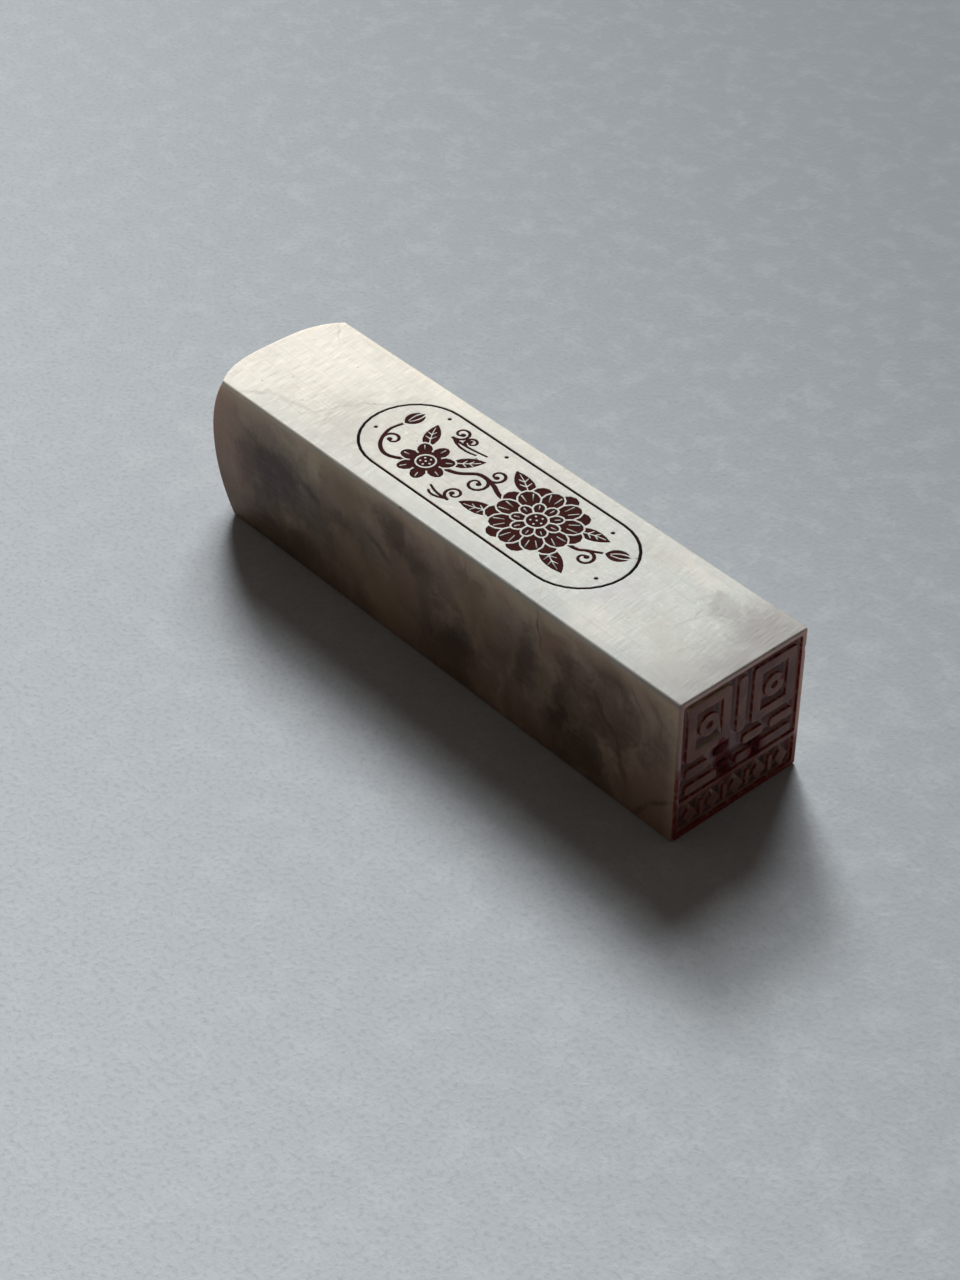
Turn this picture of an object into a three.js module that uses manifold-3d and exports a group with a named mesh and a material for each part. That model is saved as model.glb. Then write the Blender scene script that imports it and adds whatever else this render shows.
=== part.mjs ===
import * as THREE from 'three';
import { mergeVertices } from 'three/addons/utils/BufferGeometryUtils.js';
import Module from 'manifold-3d';

// A carved stone seal that lies on its side. X runs along it towards the stamping face, Y across it
// and Z up. The origin lies under the middle of its box, on the surface that it rests on.
// All lengths are in millimetres.

// Driving dimensions

// Stone blank, without the swell of its domed end
const bodyWidth = 15;
const bodyHeight = 15.4;
const bodyLength = 60.5;
const longEdgeRadius = 0.3;
const stampRimBevel = 0.15;

// Domed grip end: how far it swells beyond its corners, and how square or round each swell is
const domeSwellAcross = 2;
const domeSwellUpright = 2.35;
const domeSquareness = 3.3;
const domeRoundness = 2.2;
const domeLowerSetback = 0.42;
const domeRimRadius = 0.35;

// Engraved panel on the upper side, and the paint that fills its pockets
const panelLength = 32.5;
const panelWidth = 10.75;
const panelToStampFace = 14.75;
const panelSideShift = 0.27;
const frameLineWidth = 0.26;
const frameMargin = 0.3;
const engravingDepth = 0.3;
const paintRecess = 0.04;
const paintClearance = 0.02;
const ridgeWidth = 0.2;
const veinWidth = 0.16;

// Flower heads in the panel
const largeBloomRadius = 4.25;
const largeBloomPetals = 9;
const innerPetalReach = 2.35;
const backPetalReach = 4.75;
const largeHeartRadius = 0.95;
const smallBloomRadius = 2.7;
const smallBloomPetals = 7;
const smallHeartRadius = 0.85;
const petalVeinStartShare = 0.66;
const petalVeinEndShare = 0.9;
const seedRadius = 0.13;
const seedRingShare = 0.6;
const seedCount = 5;

// Vine, tendrils, leaves, buds and clouds in the panel
const stemWidth = 0.44;
const stemTipWidth = 0.28;
const tendrilRootWidth = 0.34;
const tendrilTipWidth = 0.2;
const tendrilRadius = 1;
const tendrilBallRadius = 0.27;
const tendrilEyeRadius = 0.24;
const leafLength = 3.6;
const leafWidth = 1.7;
const largeBloomLeafTuck = 1.15;
const smallBloomLeafTuck = 0.5;
const budLength = 2.3;
const budWidth = 1.5;
const cloudLineWidth = 0.3;
const cloudCurlRadius = 0.95;
const cloudLinePitch = 0.6;
const cloudTail = 3.2;
const cloudToLeaf = 0.3;
const cloudToBloom = 0.2;
const dotRadius = 0.2;

// Carved stamping face
const reliefDepth = 0.7;
const reliefDraft = 0.1;
const borderWidth = 0.55;
const strokeWidth = 0.95;
const strokeCornerRadius = 0.28;
const strokeGap = 0.85;
const patternMargin = 0.64;
const shortStrokeShare = 0.42;
const ringRadius = 1.15;
const ringEyeRadius = 0.42;
const bandHeight = 3.4;
const bandLineWidth = 0.45;
const bandMargin = 0.68;
const lozengePitch = 2.75;
const lozengeHalfWidth = 0.78;
const lozengeHalfHeight = 1.05;
const tickWidth = 0.45;
const tickHeight = 1.7;

// Ink paste left on the carved ground
const pasteClearance = 0.02;
const pasteHeight = 0.3;
const pasteRadius = 0.62;
const pasteToWall = 0.15;

// Turns, how far a cutting shape runs past what it cuts, how far a facet may leave its curve, and what
// is too fine for an edge
const quarterTurn = Math.PI / 2;
const fullTurn = 2 * Math.PI;
const cutOvershoot = 0.5;
const facetError = 0.019;
const spiralStepsPerTurn = 13;
const petalTipSteps = 6;
const leafSideSteps = 7;
const shortestEdge = 0.004;

const stoneMaterial = new THREE.MeshStandardMaterial({ color: 0xe6dfd3, roughness: 0.32, metalness: 0 });
const paintMaterial = new THREE.MeshStandardMaterial({ color: 0x4a2626, roughness: 0.6, metalness: 0 });
const linePaintMaterial = new THREE.MeshStandardMaterial({ color: 0x2b1816, roughness: 0.55, metalness: 0 });
const pasteMaterial = new THREE.MeshStandardMaterial({ color: 0x8a1f24, roughness: 0.5, metalness: 0 });

const wasm = await Module();
wasm.setup();

// Solids from geometry and back

function solidFrom(geometry) {
  const bare = geometry.clone();
  bare.deleteAttribute('normal');
  bare.deleteAttribute('uv');
  const merged = mergeVertices(bare, 1e-5);
  return new wasm.Manifold(new wasm.Mesh({
    numProp: 3,
    vertProperties: new Float32Array(merged.attributes.position.array),
    triVerts: new Uint32Array(merged.index.array),
    tolerance: shortestEdge,
  }));
}

function geometryFrom(solid) {
  const mesh = solid.getMesh();
  const geometry = new THREE.BufferGeometry();
  geometry.setAttribute('position', new THREE.BufferAttribute(mesh.vertProperties, 3));
  geometry.setIndex(new THREE.BufferAttribute(mesh.triVerts, 1));
  geometry.computeVertexNormals();
  return geometry;
}

const joined = (solids) => solids.reduce((all, solid) => all.add(solid));

// Outlines are lists of points that run anticlockwise

function arc(x, y, radius, from, to, steps) {
  return new THREE.EllipseCurve(x, y, radius, radius, from, to, to < from).getPoints(steps);
}

function circle(centre, radius) {
  const steps = Math.round(Math.PI * Math.sqrt(radius / (2 * facetError)));
  return arc(centre.x, centre.y, radius, 0, fullTurn, steps).slice(0, steps);
}

function roundedRectangle(width, height, radius, cornerSteps, sideSteps = 1) {
  const x = width / 2 - radius;
  const y = height / 2 - radius;
  const arcs = [[x, y], [-x, y], [-x, -y], [x, -y]].map(([cornerX, cornerY], turn) =>
    arc(cornerX, cornerY, radius, turn * quarterTurn, (turn + 1) * quarterTurn, cornerSteps));
  return arcs.flatMap((points, turn) => {
    const from = points.at(-1);
    const to = arcs[(turn + 1) % arcs.length][0];
    const between = Array.from({ length: sideSteps - 1 }, (_, index) =>
      from.clone().lerp(to, (index + 1) / sideSteps));
    return [...points, ...between];
  });
}

function stadium(length, width, endSteps) {
  const radius = width / 2;
  const reach = length / 2 - radius;
  return [
    ...arc(reach, 0, radius, -quarterTurn, quarterTurn, endSteps),
    ...arc(-reach, 0, radius, quarterTurn, 3 * quarterTurn, endSteps),
  ];
}

// Moves each point of an outline outwards by a distance, or inwards where it is negative
function offsetOutline(points, distance) {
  return points.map((point, index) => {
    const before = points.at(index - 1);
    const after = points[(index + 1) % points.length];
    const into = point.clone().sub(before).normalize();
    const out = after.clone().sub(point).normalize();
    const miter = new THREE.Vector2(into.y + out.y, -into.x - out.x);
    const spread = Math.max(1 + into.dot(out), 0.25);
    return miter.multiplyScalar(distance / spread).add(point);
  });
}

function placed(points, x, y, angle = 0) {
  const origin = new THREE.Vector2();
  const shift = new THREE.Vector2(x, y);
  return points.map((point) => point.clone().rotateAround(origin, angle).add(shift));
}

// Mirrors an outline left to right and keeps it anticlockwise
function mirrored(points) {
  return points.map((point) => new THREE.Vector2(-point.x, point.y)).reverse();
}

// A strip along a curve, whose width runs evenly from its start to its end
function ribbon(curve, startWidth, endWidth, steps) {
  const left = [];
  const right = [];
  for (let step = 0; step <= steps; step += 1) {
    const along = step / steps;
    const point = curve.getPoint(along);
    const heading = curve.getTangent(along);
    const half = THREE.MathUtils.lerp(startWidth, endWidth, along) / 2;
    left.push(new THREE.Vector2(point.x - heading.y * half, point.y + heading.x * half));
    right.push(new THREE.Vector2(point.x + heading.y * half, point.y - heading.x * half));
  }
  return [...right, ...left.reverse()];
}

class Spiral extends THREE.Curve {
  constructor(centre, startRadius, endRadius, startAngle, sweep) {
    super();
    Object.assign(this, { centre, startRadius, endRadius, startAngle, sweep });
  }

  getPoint(along, target = new THREE.Vector2()) {
    const radius = THREE.MathUtils.lerp(this.startRadius, this.endRadius, along);
    const angle = this.startAngle + this.sweep * along;
    return target.set(Math.cos(angle), Math.sin(angle)).multiplyScalar(radius).add(this.centre);
  }
}

function prism(outline, bottom, top) {
  const depth = top - bottom;
  const geometry = new THREE.ExtrudeGeometry(new THREE.Shape(outline), { depth, bevelEnabled: false });
  geometry.translate(0, 0, bottom);
  return solidFrom(geometry);
}

// Stone blank: a square bar with a pillow-shaped end

// Where the domed end's surface lies, from the point of the section that it covers
function domeEndX(y, z) {
  const across = Math.min(Math.abs(2 * y / bodyWidth), 1);
  const upright = THREE.MathUtils.clamp(2 * z / bodyHeight, -1, 1);
  const swellAcross = domeSwellAcross * (1 - across ** domeSquareness);
  const swellUpright = domeSwellUpright * (1 - Math.abs(upright) ** domeRoundness);
  return -bodyLength - swellAcross - swellUpright + domeLowerSetback * (1 - upright) / 2;
}

function stoneBlank() {
  const sideSteps = 8;
  const rimSteps = 3;
  const domeSteps = 7;
  const section = roundedRectangle(bodyWidth, bodyHeight, longEdgeRadius, 3, sideSteps);
  const ring = (inset, xAt) => section.map((point) => {
    const y = point.x * (1 - 2 * inset / bodyWidth);
    const z = point.y * (1 - 2 * inset / bodyHeight);
    return new THREE.Vector3(xAt(y, z), y, z);
  });
  const rings = [ring(stampRimBevel, () => 0), ring(0, () => -stampRimBevel)];
  for (let step = 0; step <= rimSteps; step += 1) {
    const angle = quarterTurn * step / rimSteps;
    const lift = domeRimRadius * (1 - Math.sin(angle));
    rings.push(ring(domeRimRadius * (1 - Math.cos(angle)), (y, z) => domeEndX(y, z) + lift));
  }
  for (let step = 1; step < domeSteps; step += 1) {
    const inset = THREE.MathUtils.lerp(domeRimRadius, bodyWidth / 2, step / domeSteps);
    rings.push(ring(inset, domeEndX));
  }

  const count = section.length;
  const points = [...rings.flat(), new THREE.Vector3(), new THREE.Vector3(domeEndX(0, 0), 0, 0)];
  const stampPole = points.length - 2;
  const domePole = points.length - 1;
  const lastRing = (rings.length - 1) * count;
  const triangles = [];
  for (let index = 0; index < count; index += 1) {
    const next = (index + 1) % count;
    triangles.push(stampPole, index, next);
    triangles.push(domePole, lastRing + next, lastRing + index);
    for (let start = 0; start < lastRing; start += count) {
      const below = start + count;
      triangles.push(start + index, below + index, below + next);
      triangles.push(start + index, below + next, start + next);
    }
  }
  const geometry = new THREE.BufferGeometry().setFromPoints(points);
  geometry.setIndex(triangles);
  geometry.computeBoundingBox();
  return geometry;
}

const blank = stoneBlank();
const stampFaceX = (blank.boundingBox.max.x - blank.boundingBox.min.x) / 2;
blank.translate(stampFaceX, 0, bodyHeight / 2);

// Engraved panel

// A point of the panel, by its share of the half length and of the half width
function panelPoint(along, across) {
  return new THREE.Vector2(along * panelLength / 2, across * panelWidth / 2);
}

const stem = (...points) => new THREE.SplineCurve(points);

// A petal that leaves a ridge's width to each neighbour in its ring, with veins left as fine ridges
function petal(angle, count, innerRadius, outerRadius, veins) {
  const spread = Math.PI / count;
  const shoulder = outerRadius * (1 - 0.85 * Math.sin(spread));
  const halfWidthAt = (radius) => radius * Math.tan(spread) - ridgeWidth / 2 / Math.cos(spread);
  const tip = new THREE.EllipseCurve(shoulder, 0, outerRadius - shoulder, halfWidthAt(shoulder),
    -quarterTurn, quarterTurn).getPoints(petalTipSteps);
  const base = halfWidthAt(innerRadius);
  const outline = [new THREE.Vector2(innerRadius, base), new THREE.Vector2(innerRadius, -base), ...tip];
  const ridges = veins.map((side) => {
    const rootRadius = outerRadius * petalVeinStartShare;
    const endRadius = outerRadius * petalVeinEndShare;
    const root = new THREE.Vector2(rootRadius, side * halfWidthAt(rootRadius) * 0.3);
    const end = new THREE.Vector2(endRadius, side * halfWidthAt(endRadius) * 0.42);
    return ribbon(new THREE.LineCurve(root, end), veinWidth * 0.6, veinWidth, 1);
  });
  return { outline: placed(outline, 0, 0, angle), ridges: ridges.map((ridge) => placed(ridge, 0, 0, angle)) };
}

function petalRing(name, centre, count, innerRadius, outerRadius, firstAngle, veins = []) {
  return Array.from({ length: count }, (_, index) => {
    const angle = firstAngle + fullTurn * index / count;
    const { outline, ridges } = petal(angle, count, innerRadius, outerRadius, veins);
    return {
      name: `${name}_${index + 1}`,
      outlines: [placed(outline, centre.x, centre.y)],
      ridges: ridges.map((ridge) => placed(ridge, centre.x, centre.y)),
    };
  });
}

// Petals that stay joined round their heart, parted by slits from their tips inwards
function joinedPetals(name, centre, count, innerRadius, outerRadius, firstAngle) {
  const ring = petalRing(name, centre, count, innerRadius + 2 * ridgeWidth, outerRadius, firstAngle, [0]);
  const collar = circle(centre, innerRadius + 3 * ridgeWidth);
  return {
    name,
    outlines: [collar, ...ring.flatMap((one) => one.outlines)],
    ridges: ring.flatMap((one) => one.ridges),
  };
}

// The seeded middle of a flower head, whose seeds are dots of bare stone
function heart(name, centre, radius) {
  const seeds = Array.from({ length: seedCount }, (_, index) => {
    const angle = fullTurn * index / seedCount;
    const reach = radius * seedRingShare;
    return placed(circle(new THREE.Vector2(reach, 0), seedRadius), centre.x, centre.y, angle);
  });
  return { name, outlines: [circle(centre, radius)], ridges: [...seeds, circle(centre, seedRadius)] };
}

// A curl that leaves a stem along its heading and winds to one side, left where its turns are positive
function tendril(from, along, size, turns) {
  const radius = tendrilRadius * size;
  const start = from.getPoint(along);
  const heading = from.getTangent(along);
  const aside = new THREE.Vector2(-heading.y, heading.x).multiplyScalar(Math.sign(turns) * radius);
  const centre = aside.add(start);
  const startAngle = Math.atan2(start.y - centre.y, start.x - centre.x);
  const curl = new Spiral(centre, radius, tendrilEyeRadius, startAngle, turns * fullTurn);
  return [
    ribbon(curl, tendrilRootWidth, tendrilTipWidth, Math.ceil(Math.abs(turns) * spiralStepsPerTurn)),
    circle(curl.getPoint(1), tendrilBallRadius),
  ];
}

// A pointed leaf that bends to one side, with its midrib and side veins left as ridges
function leaf(name, base, angle, size = 1, hand = 1) {
  const length = leafLength * size;
  const half = leafWidth * size / 2;
  const point = (along, across) => new THREE.Vector2(along * length, across * half);
  const lower = new THREE.CubicBezierCurve(point(0, 0), point(0.15, -1.35), point(0.6, -1.2), point(1, 0.5));
  const upper = new THREE.CubicBezierCurve(point(1, 0.5), point(0.75, 1.15), point(0.3, 1.5), point(0, 0));
  const midrib = new THREE.QuadraticBezierCurve(point(0.06, 0), point(0.5, -0.1), point(0.86, 0.3));
  const veins = [0.34, 0.58].flatMap((along) => [-1, 1].map((side) => {
    const root = midrib.getPoint(along);
    const end = new THREE.Vector2(root.x + length * 0.12, root.y + side * half * (0.8 - 0.5 * along));
    return ribbon(new THREE.LineCurve(root, end), veinWidth, veinWidth * 0.5, 1);
  }));
  const outline = [lower, upper].flatMap((side) => side.getPoints(leafSideSteps).slice(0, -1));
  const ridges = [ribbon(midrib, veinWidth, veinWidth * 0.6, 3), ...veins];
  const turned = (points) => placed(hand < 0 ? placed(mirrored(points), 0, 0, Math.PI) : points,
    base.x, base.y, angle);
  return { name, outlines: [turned(outline)], ridges: ridges.map(turned) };
}

// A closed bud: three petals that part at the top
function bud(name, base, angle) {
  const half = budWidth / 2;
  const point = (along, across) => new THREE.Vector2(along * budLength, across * half);
  const edge = new THREE.CubicBezierCurve(point(0, 0), point(0.25, -1.5), point(0.7, -1.2), point(0.9, -0.5));
  const side = edge.getPoints(leafSideSteps);
  const otherSide = side.slice(1).map((at) => new THREE.Vector2(at.x, -at.y)).reverse();
  const outline = [...side, point(0.84, -0.28), point(1, 0), point(0.84, 0.28), ...otherSide];
  const partings = [-1, 1].map((hand) => ribbon(
    new THREE.QuadraticBezierCurve(point(0.9, hand * 0.28), point(0.6, hand * 0.62), point(0.2, hand * 0.1)),
    veinWidth, veinWidth * 0.7, 4));
  return {
    name,
    outlines: [placed(outline, base.x, base.y, angle)],
    ridges: partings.map((parting) => placed(parting, base.x, base.y, angle)),
  };
}

// A scrolled cloud: one or two curls that sit on flowing lines, which trail away to the right or, with
// a hand of -1, to the left. It reaches two radii of its first curl to the other side.
function cloud(name, centre, curlCount, tail, hand = 1) {
  const curl = cloudCurlRadius;
  const small = curl * 0.75;
  const turns = 1.2;
  const near = new Spiral(new THREE.Vector2(-curl, 0), curl, tendrilEyeRadius,
    -quarterTurn, turns * fullTurn);
  const far = new Spiral(new THREE.Vector2(small, small - curl), small, tendrilEyeRadius,
    -quarterTurn, -turns * fullTurn);
  const train = [0, 1].map((row) => {
    const drop = -curl - row * cloudLinePitch;
    return new THREE.CubicBezierCurve(
      new THREE.Vector2(-curl * (1.3 - 0.3 * row), -curl), new THREE.Vector2(curl * 0.2, drop - curl * 0.2),
      new THREE.Vector2(tail * 0.5, drop), new THREE.Vector2(tail * (1 - 0.25 * row), drop + curl * 0.35));
  });
  const curls = [near, far].slice(0, curlCount);
  const outlines = [
    ...curls.map((spiral) =>
      ribbon(spiral, cloudLineWidth, tendrilTipWidth, Math.ceil(turns * spiralStepsPerTurn))),
    ...curls.map((spiral) => circle(spiral.getPoint(1), tendrilBallRadius)),
    ...train.map((line) => ribbon(line, cloudLineWidth, tendrilTipWidth, 5)),
  ];
  const handed = hand < 0 ? outlines.map(mirrored) : outlines;
  return { name, outlines: handed.map((outline) => placed(outline, centre.x, centre.y)) };
}

function dot(name, centre) {
  return { name, outlines: [circle(centre, dotRadius)] };
}

const largeBloomAt = panelPoint(0.33, 0);
const smallBloomAt = panelPoint(-0.47, -0.3);
const leftBudAt = panelPoint(-0.82, 0.14);
const rightBudAt = panelPoint(0.78, 0.24);

const leftVine = stem(smallBloomAt, panelPoint(-0.64, -0.66), panelPoint(-0.76, -0.56),
  panelPoint(-0.83, -0.2), leftBudAt);
const middleVine = stem(smallBloomAt, panelPoint(-0.28, -0.14), panelPoint(-0.18, 0.12),
  panelPoint(-0.06, 0.1), panelPoint(0.06, -0.02), largeBloomAt);
const rightVine = stem(largeBloomAt, panelPoint(0.62, -0.04), panelPoint(0.7, 0.08), rightBudAt);

// A point at a distance from a middle, in a direction in degrees
function around(centre, reach, degrees) {
  const angle = THREE.MathUtils.degToRad(degrees);
  return new THREE.Vector2(Math.cos(angle), Math.sin(angle)).multiplyScalar(reach).add(centre);
}

function leafBehind(name, centre, reach, degrees, size, hand) {
  return leaf(name, around(centre, reach, degrees), THREE.MathUtils.degToRad(degrees), size, hand);
}

// From the motif that lies in front of all others to the one behind them
function artwork() {
  const halfStep = Math.PI / largeBloomPetals;
  const largeReach = backPetalReach - largeBloomLeafTuck;
  const smallReach = smallBloomRadius - smallBloomLeafTuck;
  const lowerLeafSize = 1.05;
  const lowerLeafTurn = 210;
  const lowerLeafTip = around(largeBloomAt, largeReach + leafLength * lowerLeafSize, lowerLeafTurn);
  const lowerCloudX = lowerLeafTip.x - cloudToLeaf - 2 * cloudCurlRadius;
  const lowerCloudTail = lowerCloudX - (smallBloomAt.x + smallBloomRadius + cloudToBloom);
  return [
    heart('large_bloom_heart', largeBloomAt, largeHeartRadius),
    ...petalRing('large_bloom_inner_petal', largeBloomAt, largeBloomPetals, largeHeartRadius + ridgeWidth,
      innerPetalReach, quarterTurn, [0]),
    ...petalRing('large_bloom_outer_petal', largeBloomAt, largeBloomPetals, largeHeartRadius + ridgeWidth,
      largeBloomRadius, quarterTurn + halfStep, [-1, 1]),
    ...petalRing('large_bloom_back_petal', largeBloomAt, largeBloomPetals, innerPetalReach, backPetalReach,
      quarterTurn),
    heart('small_bloom_heart', smallBloomAt, smallHeartRadius),
    joinedPetals('small_bloom_petals', smallBloomAt, smallBloomPetals, smallHeartRadius, smallBloomRadius,
      quarterTurn),
    leafBehind('leaf_1', largeBloomAt, largeReach, 148, 1.05, 1),
    leafBehind('leaf_2', largeBloomAt, largeReach, lowerLeafTurn, lowerLeafSize, -1),
    leafBehind('leaf_3', largeBloomAt, largeReach, 26, 0.95, -1),
    leafBehind('leaf_4', largeBloomAt, largeReach, -30, 1.1, 1),
    leafBehind('leaf_5', smallBloomAt, smallReach, 42, 0.9, 1),
    leafBehind('leaf_6', smallBloomAt, smallReach, 132, 0.95, -1),
    bud('left_bud', leftBudAt, quarterTurn * 0.95),
    bud('right_bud', rightBudAt, quarterTurn * 0.35),
    {
      name: 'left_vine',
      outlines: [ribbon(leftVine, stemWidth, stemTipWidth, 20), ...tendril(leftVine, 0.62, 0.95, -0.95)],
    },
    {
      name: 'middle_vine',
      outlines: [
        ribbon(middleVine, stemWidth, stemWidth, 24),
        ...tendril(middleVine, 0.52, 1, 1.1),
        ...tendril(middleVine, 0.5, 1.2, -1.15),
      ],
    },
    {
      name: 'right_vine',
      outlines: [ribbon(rightVine, stemWidth, stemTipWidth, 14), ...tendril(rightVine, 0.62, 1.05, -1.15)],
    },
    cloud('upper_cloud', panelPoint(-0.47, 0.66), 2, cloudTail),
    cloud('lower_cloud', new THREE.Vector2(lowerCloudX, panelPoint(0, -0.54).y), 1, lowerCloudTail, -1),
    dot('dot_1', panelPoint(-0.9, -0.3)),
    dot('dot_2', panelPoint(-0.2, 0.78)),
    dot('dot_3', panelPoint(-0.68, 0.78)),
    dot('dot_4', panelPoint(0.9, -0.3)),
    dot('dot_5', panelPoint(0.68, 0.7)),
  ];
}

const above = bodyHeight + cutOvershoot;

// The spaces that the motifs take between two heights, each cut back round those in front of it. They
// grow all round by a distance, so that pockets and the paint in them come from the same outlines.
function inlaidSolids(motifs, grow, bottom, top) {
  const below = bottom - cutOvershoot;
  const cutter = (outline, distance) => prism(offsetOutline(outline, distance), below, above + cutOvershoot);
  const inset = 2 * (frameLineWidth + frameMargin);
  const field = cutter(stadium(panelLength - inset, panelWidth - inset, 16), grow);
  const guards = [];
  return motifs.map(({ outlines, ridges = [] }) => {
    const filled = joined(outlines.map((outline) => prism(offsetOutline(outline, grow), bottom, top)));
    const cuts = [...ridges.map((outline) => cutter(outline, -grow)), ...guards];
    guards.push(joined(outlines.map((outline) => cutter(outline, ridgeWidth - grow))));
    return cuts.reduce((rest, cut) => rest.subtract(cut), filled.intersect(field));
  });
}

function frameLineSolid(grow, bottom, top) {
  const outer = stadium(panelLength, panelWidth, 16);
  const inner = offsetOutline(outer, -frameLineWidth);
  const whole = prism(offsetOutline(outer, grow), bottom, top);
  return whole.subtract(prism(offsetOutline(inner, -grow), bottom - cutOvershoot, top + cutOvershoot));
}

const panelPlace = [stampFaceX - panelToStampFace - panelLength / 2, panelSideShift, 0];
const pocketFloor = bodyHeight - engravingDepth;
const paintFloor = pocketFloor + paintClearance;
const paintTop = bodyHeight - paintRecess;
const motifs = artwork();
const pockets = [
  frameLineSolid(paintClearance, pocketFloor, above),
  ...inlaidSolids(motifs, paintClearance, pocketFloor, above),
];
const framePaint = frameLineSolid(0, paintFloor, paintTop);
const motifPaints = inlaidSolids(motifs, 0, paintFloor, paintTop);

// Carved stamping face, drawn as it is seen: its own X runs along Y, its Y up, and its Z out of the stone

const windowWidth = bodyWidth - 2 * borderWidth;
const windowHeight = bodyHeight - 2 * borderWidth;

// How far a carved wall leans for each millimetre of depth
const wallLean = reliefDraft / reliefDepth;

// A raised stroke, whose walls slope out to the carved ground and run on past it and past the face
function raised(outline, hole) {
  const shape = new THREE.Shape(outline);
  if (hole) {
    shape.holes.push(new THREE.Path(hole));
  }
  const height = reliefDepth + 2 * cutOvershoot;
  const geometry = new THREE.ExtrudeGeometry(shape, {
    depth: cutOvershoot,
    bevelThickness: height,
    bevelSize: wallLean * height,
    bevelOffset: -wallLean * cutOvershoot,
    bevelSegments: 1,
  });
  geometry.translate(0, 0, -height);
  return solidFrom(geometry);
}

// A straight stroke between two points of its middle line, along one of the face's own directions
function bar(x1, y1, x2, y2, width = strokeWidth) {
  const outline = roundedRectangle(Math.abs(x2 - x1) + width, Math.abs(y2 - y1) + width,
    Math.min(strokeCornerRadius, width / 2.2), 2);
  return placed(outline, (x1 + x2) / 2, (y1 + y2) / 2);
}

// Heights and sides that the strokes share
const strokePitch = strokeWidth + strokeGap;
const patternTop = windowHeight / 2 - patternMargin - strokeWidth / 2;
const patternSide = windowWidth / 2 - patternMargin - strokeWidth / 2;
const bandTop = -windowHeight / 2 + bandHeight;
const lowRow = bandTop + bandMargin + strokeWidth / 2;
const highRow = lowRow + strokePitch;
const frameFoot = highRow + strokePitch;
const shortEnd = patternSide - (patternSide - strokePitch) * shortStrokeShare;
const longEnd = shortEnd - strokePitch * 0.6;
const nibStart = strokePitch * 0.1;
const nibEnd = strokePitch * 0.6;

function stampingPattern() {
  const halfPattern = [
    bar(strokePitch, patternTop, patternSide, patternTop),
    bar(strokePitch, frameFoot, patternSide, frameFoot),
    bar(strokePitch, frameFoot, strokePitch, patternTop),
    bar(patternSide, frameFoot, patternSide, patternTop),
    bar(shortEnd, highRow, patternSide, highRow),
    bar(longEnd, lowRow, patternSide, lowRow),
  ];
  const singleStrokes = [
    bar(0, frameFoot, 0, patternTop),
    bar(strokePitch / 2, highRow, shortEnd - strokePitch, highRow),
    bar(nibStart, lowRow, nibEnd, lowRow),
  ];

  const bandMiddle = (bandTop - bandLineWidth / 2 - windowHeight / 2) / 2;
  const lozenge = [1, 0, -1, 0].map((share, corner, shares) =>
    new THREE.Vector2(share * lozengeHalfWidth, shares.at(corner - 1) * lozengeHalfHeight));
  const lozenges = [-2, -1, 0, 1, 2].map((place) => placed(lozenge, place * lozengePitch, bandMiddle));
  const tickReach = (tickHeight - tickWidth) / 2;
  const ticks = [-1.5, -0.5, 0.5, 1.5].map((place) => bar(place * lozengePitch, bandMiddle - tickReach,
    place * lozengePitch, bandMiddle + tickReach, tickWidth));
  const bandLine = bar(-windowWidth / 2, bandTop, windowWidth / 2, bandTop, bandLineWidth);

  const rings = [-1, 1].map((hand) => {
    const centre = new THREE.Vector2(hand * (strokePitch + patternSide) / 2, (frameFoot + patternTop) / 2);
    return raised(circle(centre, ringRadius), circle(centre, ringEyeRadius).reverse());
  });
  const strokes = [
    ...halfPattern, ...halfPattern.map(mirrored), ...singleStrokes, ...lozenges, ...ticks, bandLine,
  ];
  return joined([...strokes.map((stroke) => raised(stroke)), ...rings]);
}

function carvedGround() {
  const height = reliefDepth + cutOvershoot;
  const floor = roundedRectangle(windowWidth - 2 * reliefDraft, windowHeight - 2 * reliefDraft,
    strokeCornerRadius, 2);
  const geometry = new THREE.ExtrudeGeometry(new THREE.Shape(floor), {
    depth: cutOvershoot,
    bevelThickness: height,
    bevelSize: wallLean * height,
    bevelSegments: 1,
  });
  geometry.translate(0, 0, cutOvershoot);
  return solidFrom(geometry).subtract(stampingPattern());
}

// A dab of dried ink paste on the carved ground, midway between the ends of two strokes of a row: low
// domes that run into each other. Each dome's shifts and size are shares of the dab's radius.
function pasteDab(leftEnd, rightStart, row, radius, domes) {
  const middle = (leftEnd + rightStart) / 2;
  const solids = domes.map(([shiftX, shiftY, size]) => {
    const reach = radius * size;
    const height = pasteHeight * Math.sqrt(reach / pasteRadius);
    const side = [0, 0.4, 0.75].map((turn) => new THREE.Vector2(reach * Math.cos(turn * quarterTurn),
      height * Math.sin(turn * quarterTurn)));
    const geometry = new THREE.LatheGeometry([new THREE.Vector2(), ...side, new THREE.Vector2(0, height)], 9);
    geometry.rotateX(quarterTurn);
    geometry.translate(middle + shiftX * radius, row + shiftY * radius, pasteClearance - reliefDepth);
    return solidFrom(geometry);
  });
  return joined(solids);
}

const narrowGap = longEnd - nibEnd - strokeWidth;
const pasteDabs = [
  pasteDab(-shortEnd, strokePitch / 2, highRow, pasteRadius,
    [[0, 0, 1], [0.9, 0.35, 0.75], [-0.75, -0.4, 0.6]]),
  pasteDab(-longEnd, nibStart, lowRow, pasteRadius * 0.6,
    [[0, -0.2, 1], [1, 0.15, 0.75]]),
  pasteDab(nibEnd, longEnd, lowRow, narrowGap / 2 - reliefDraft - pasteToWall,
    [[0, -0.6, 1], [0.1, 0.6, 0.8]]),
];

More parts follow.
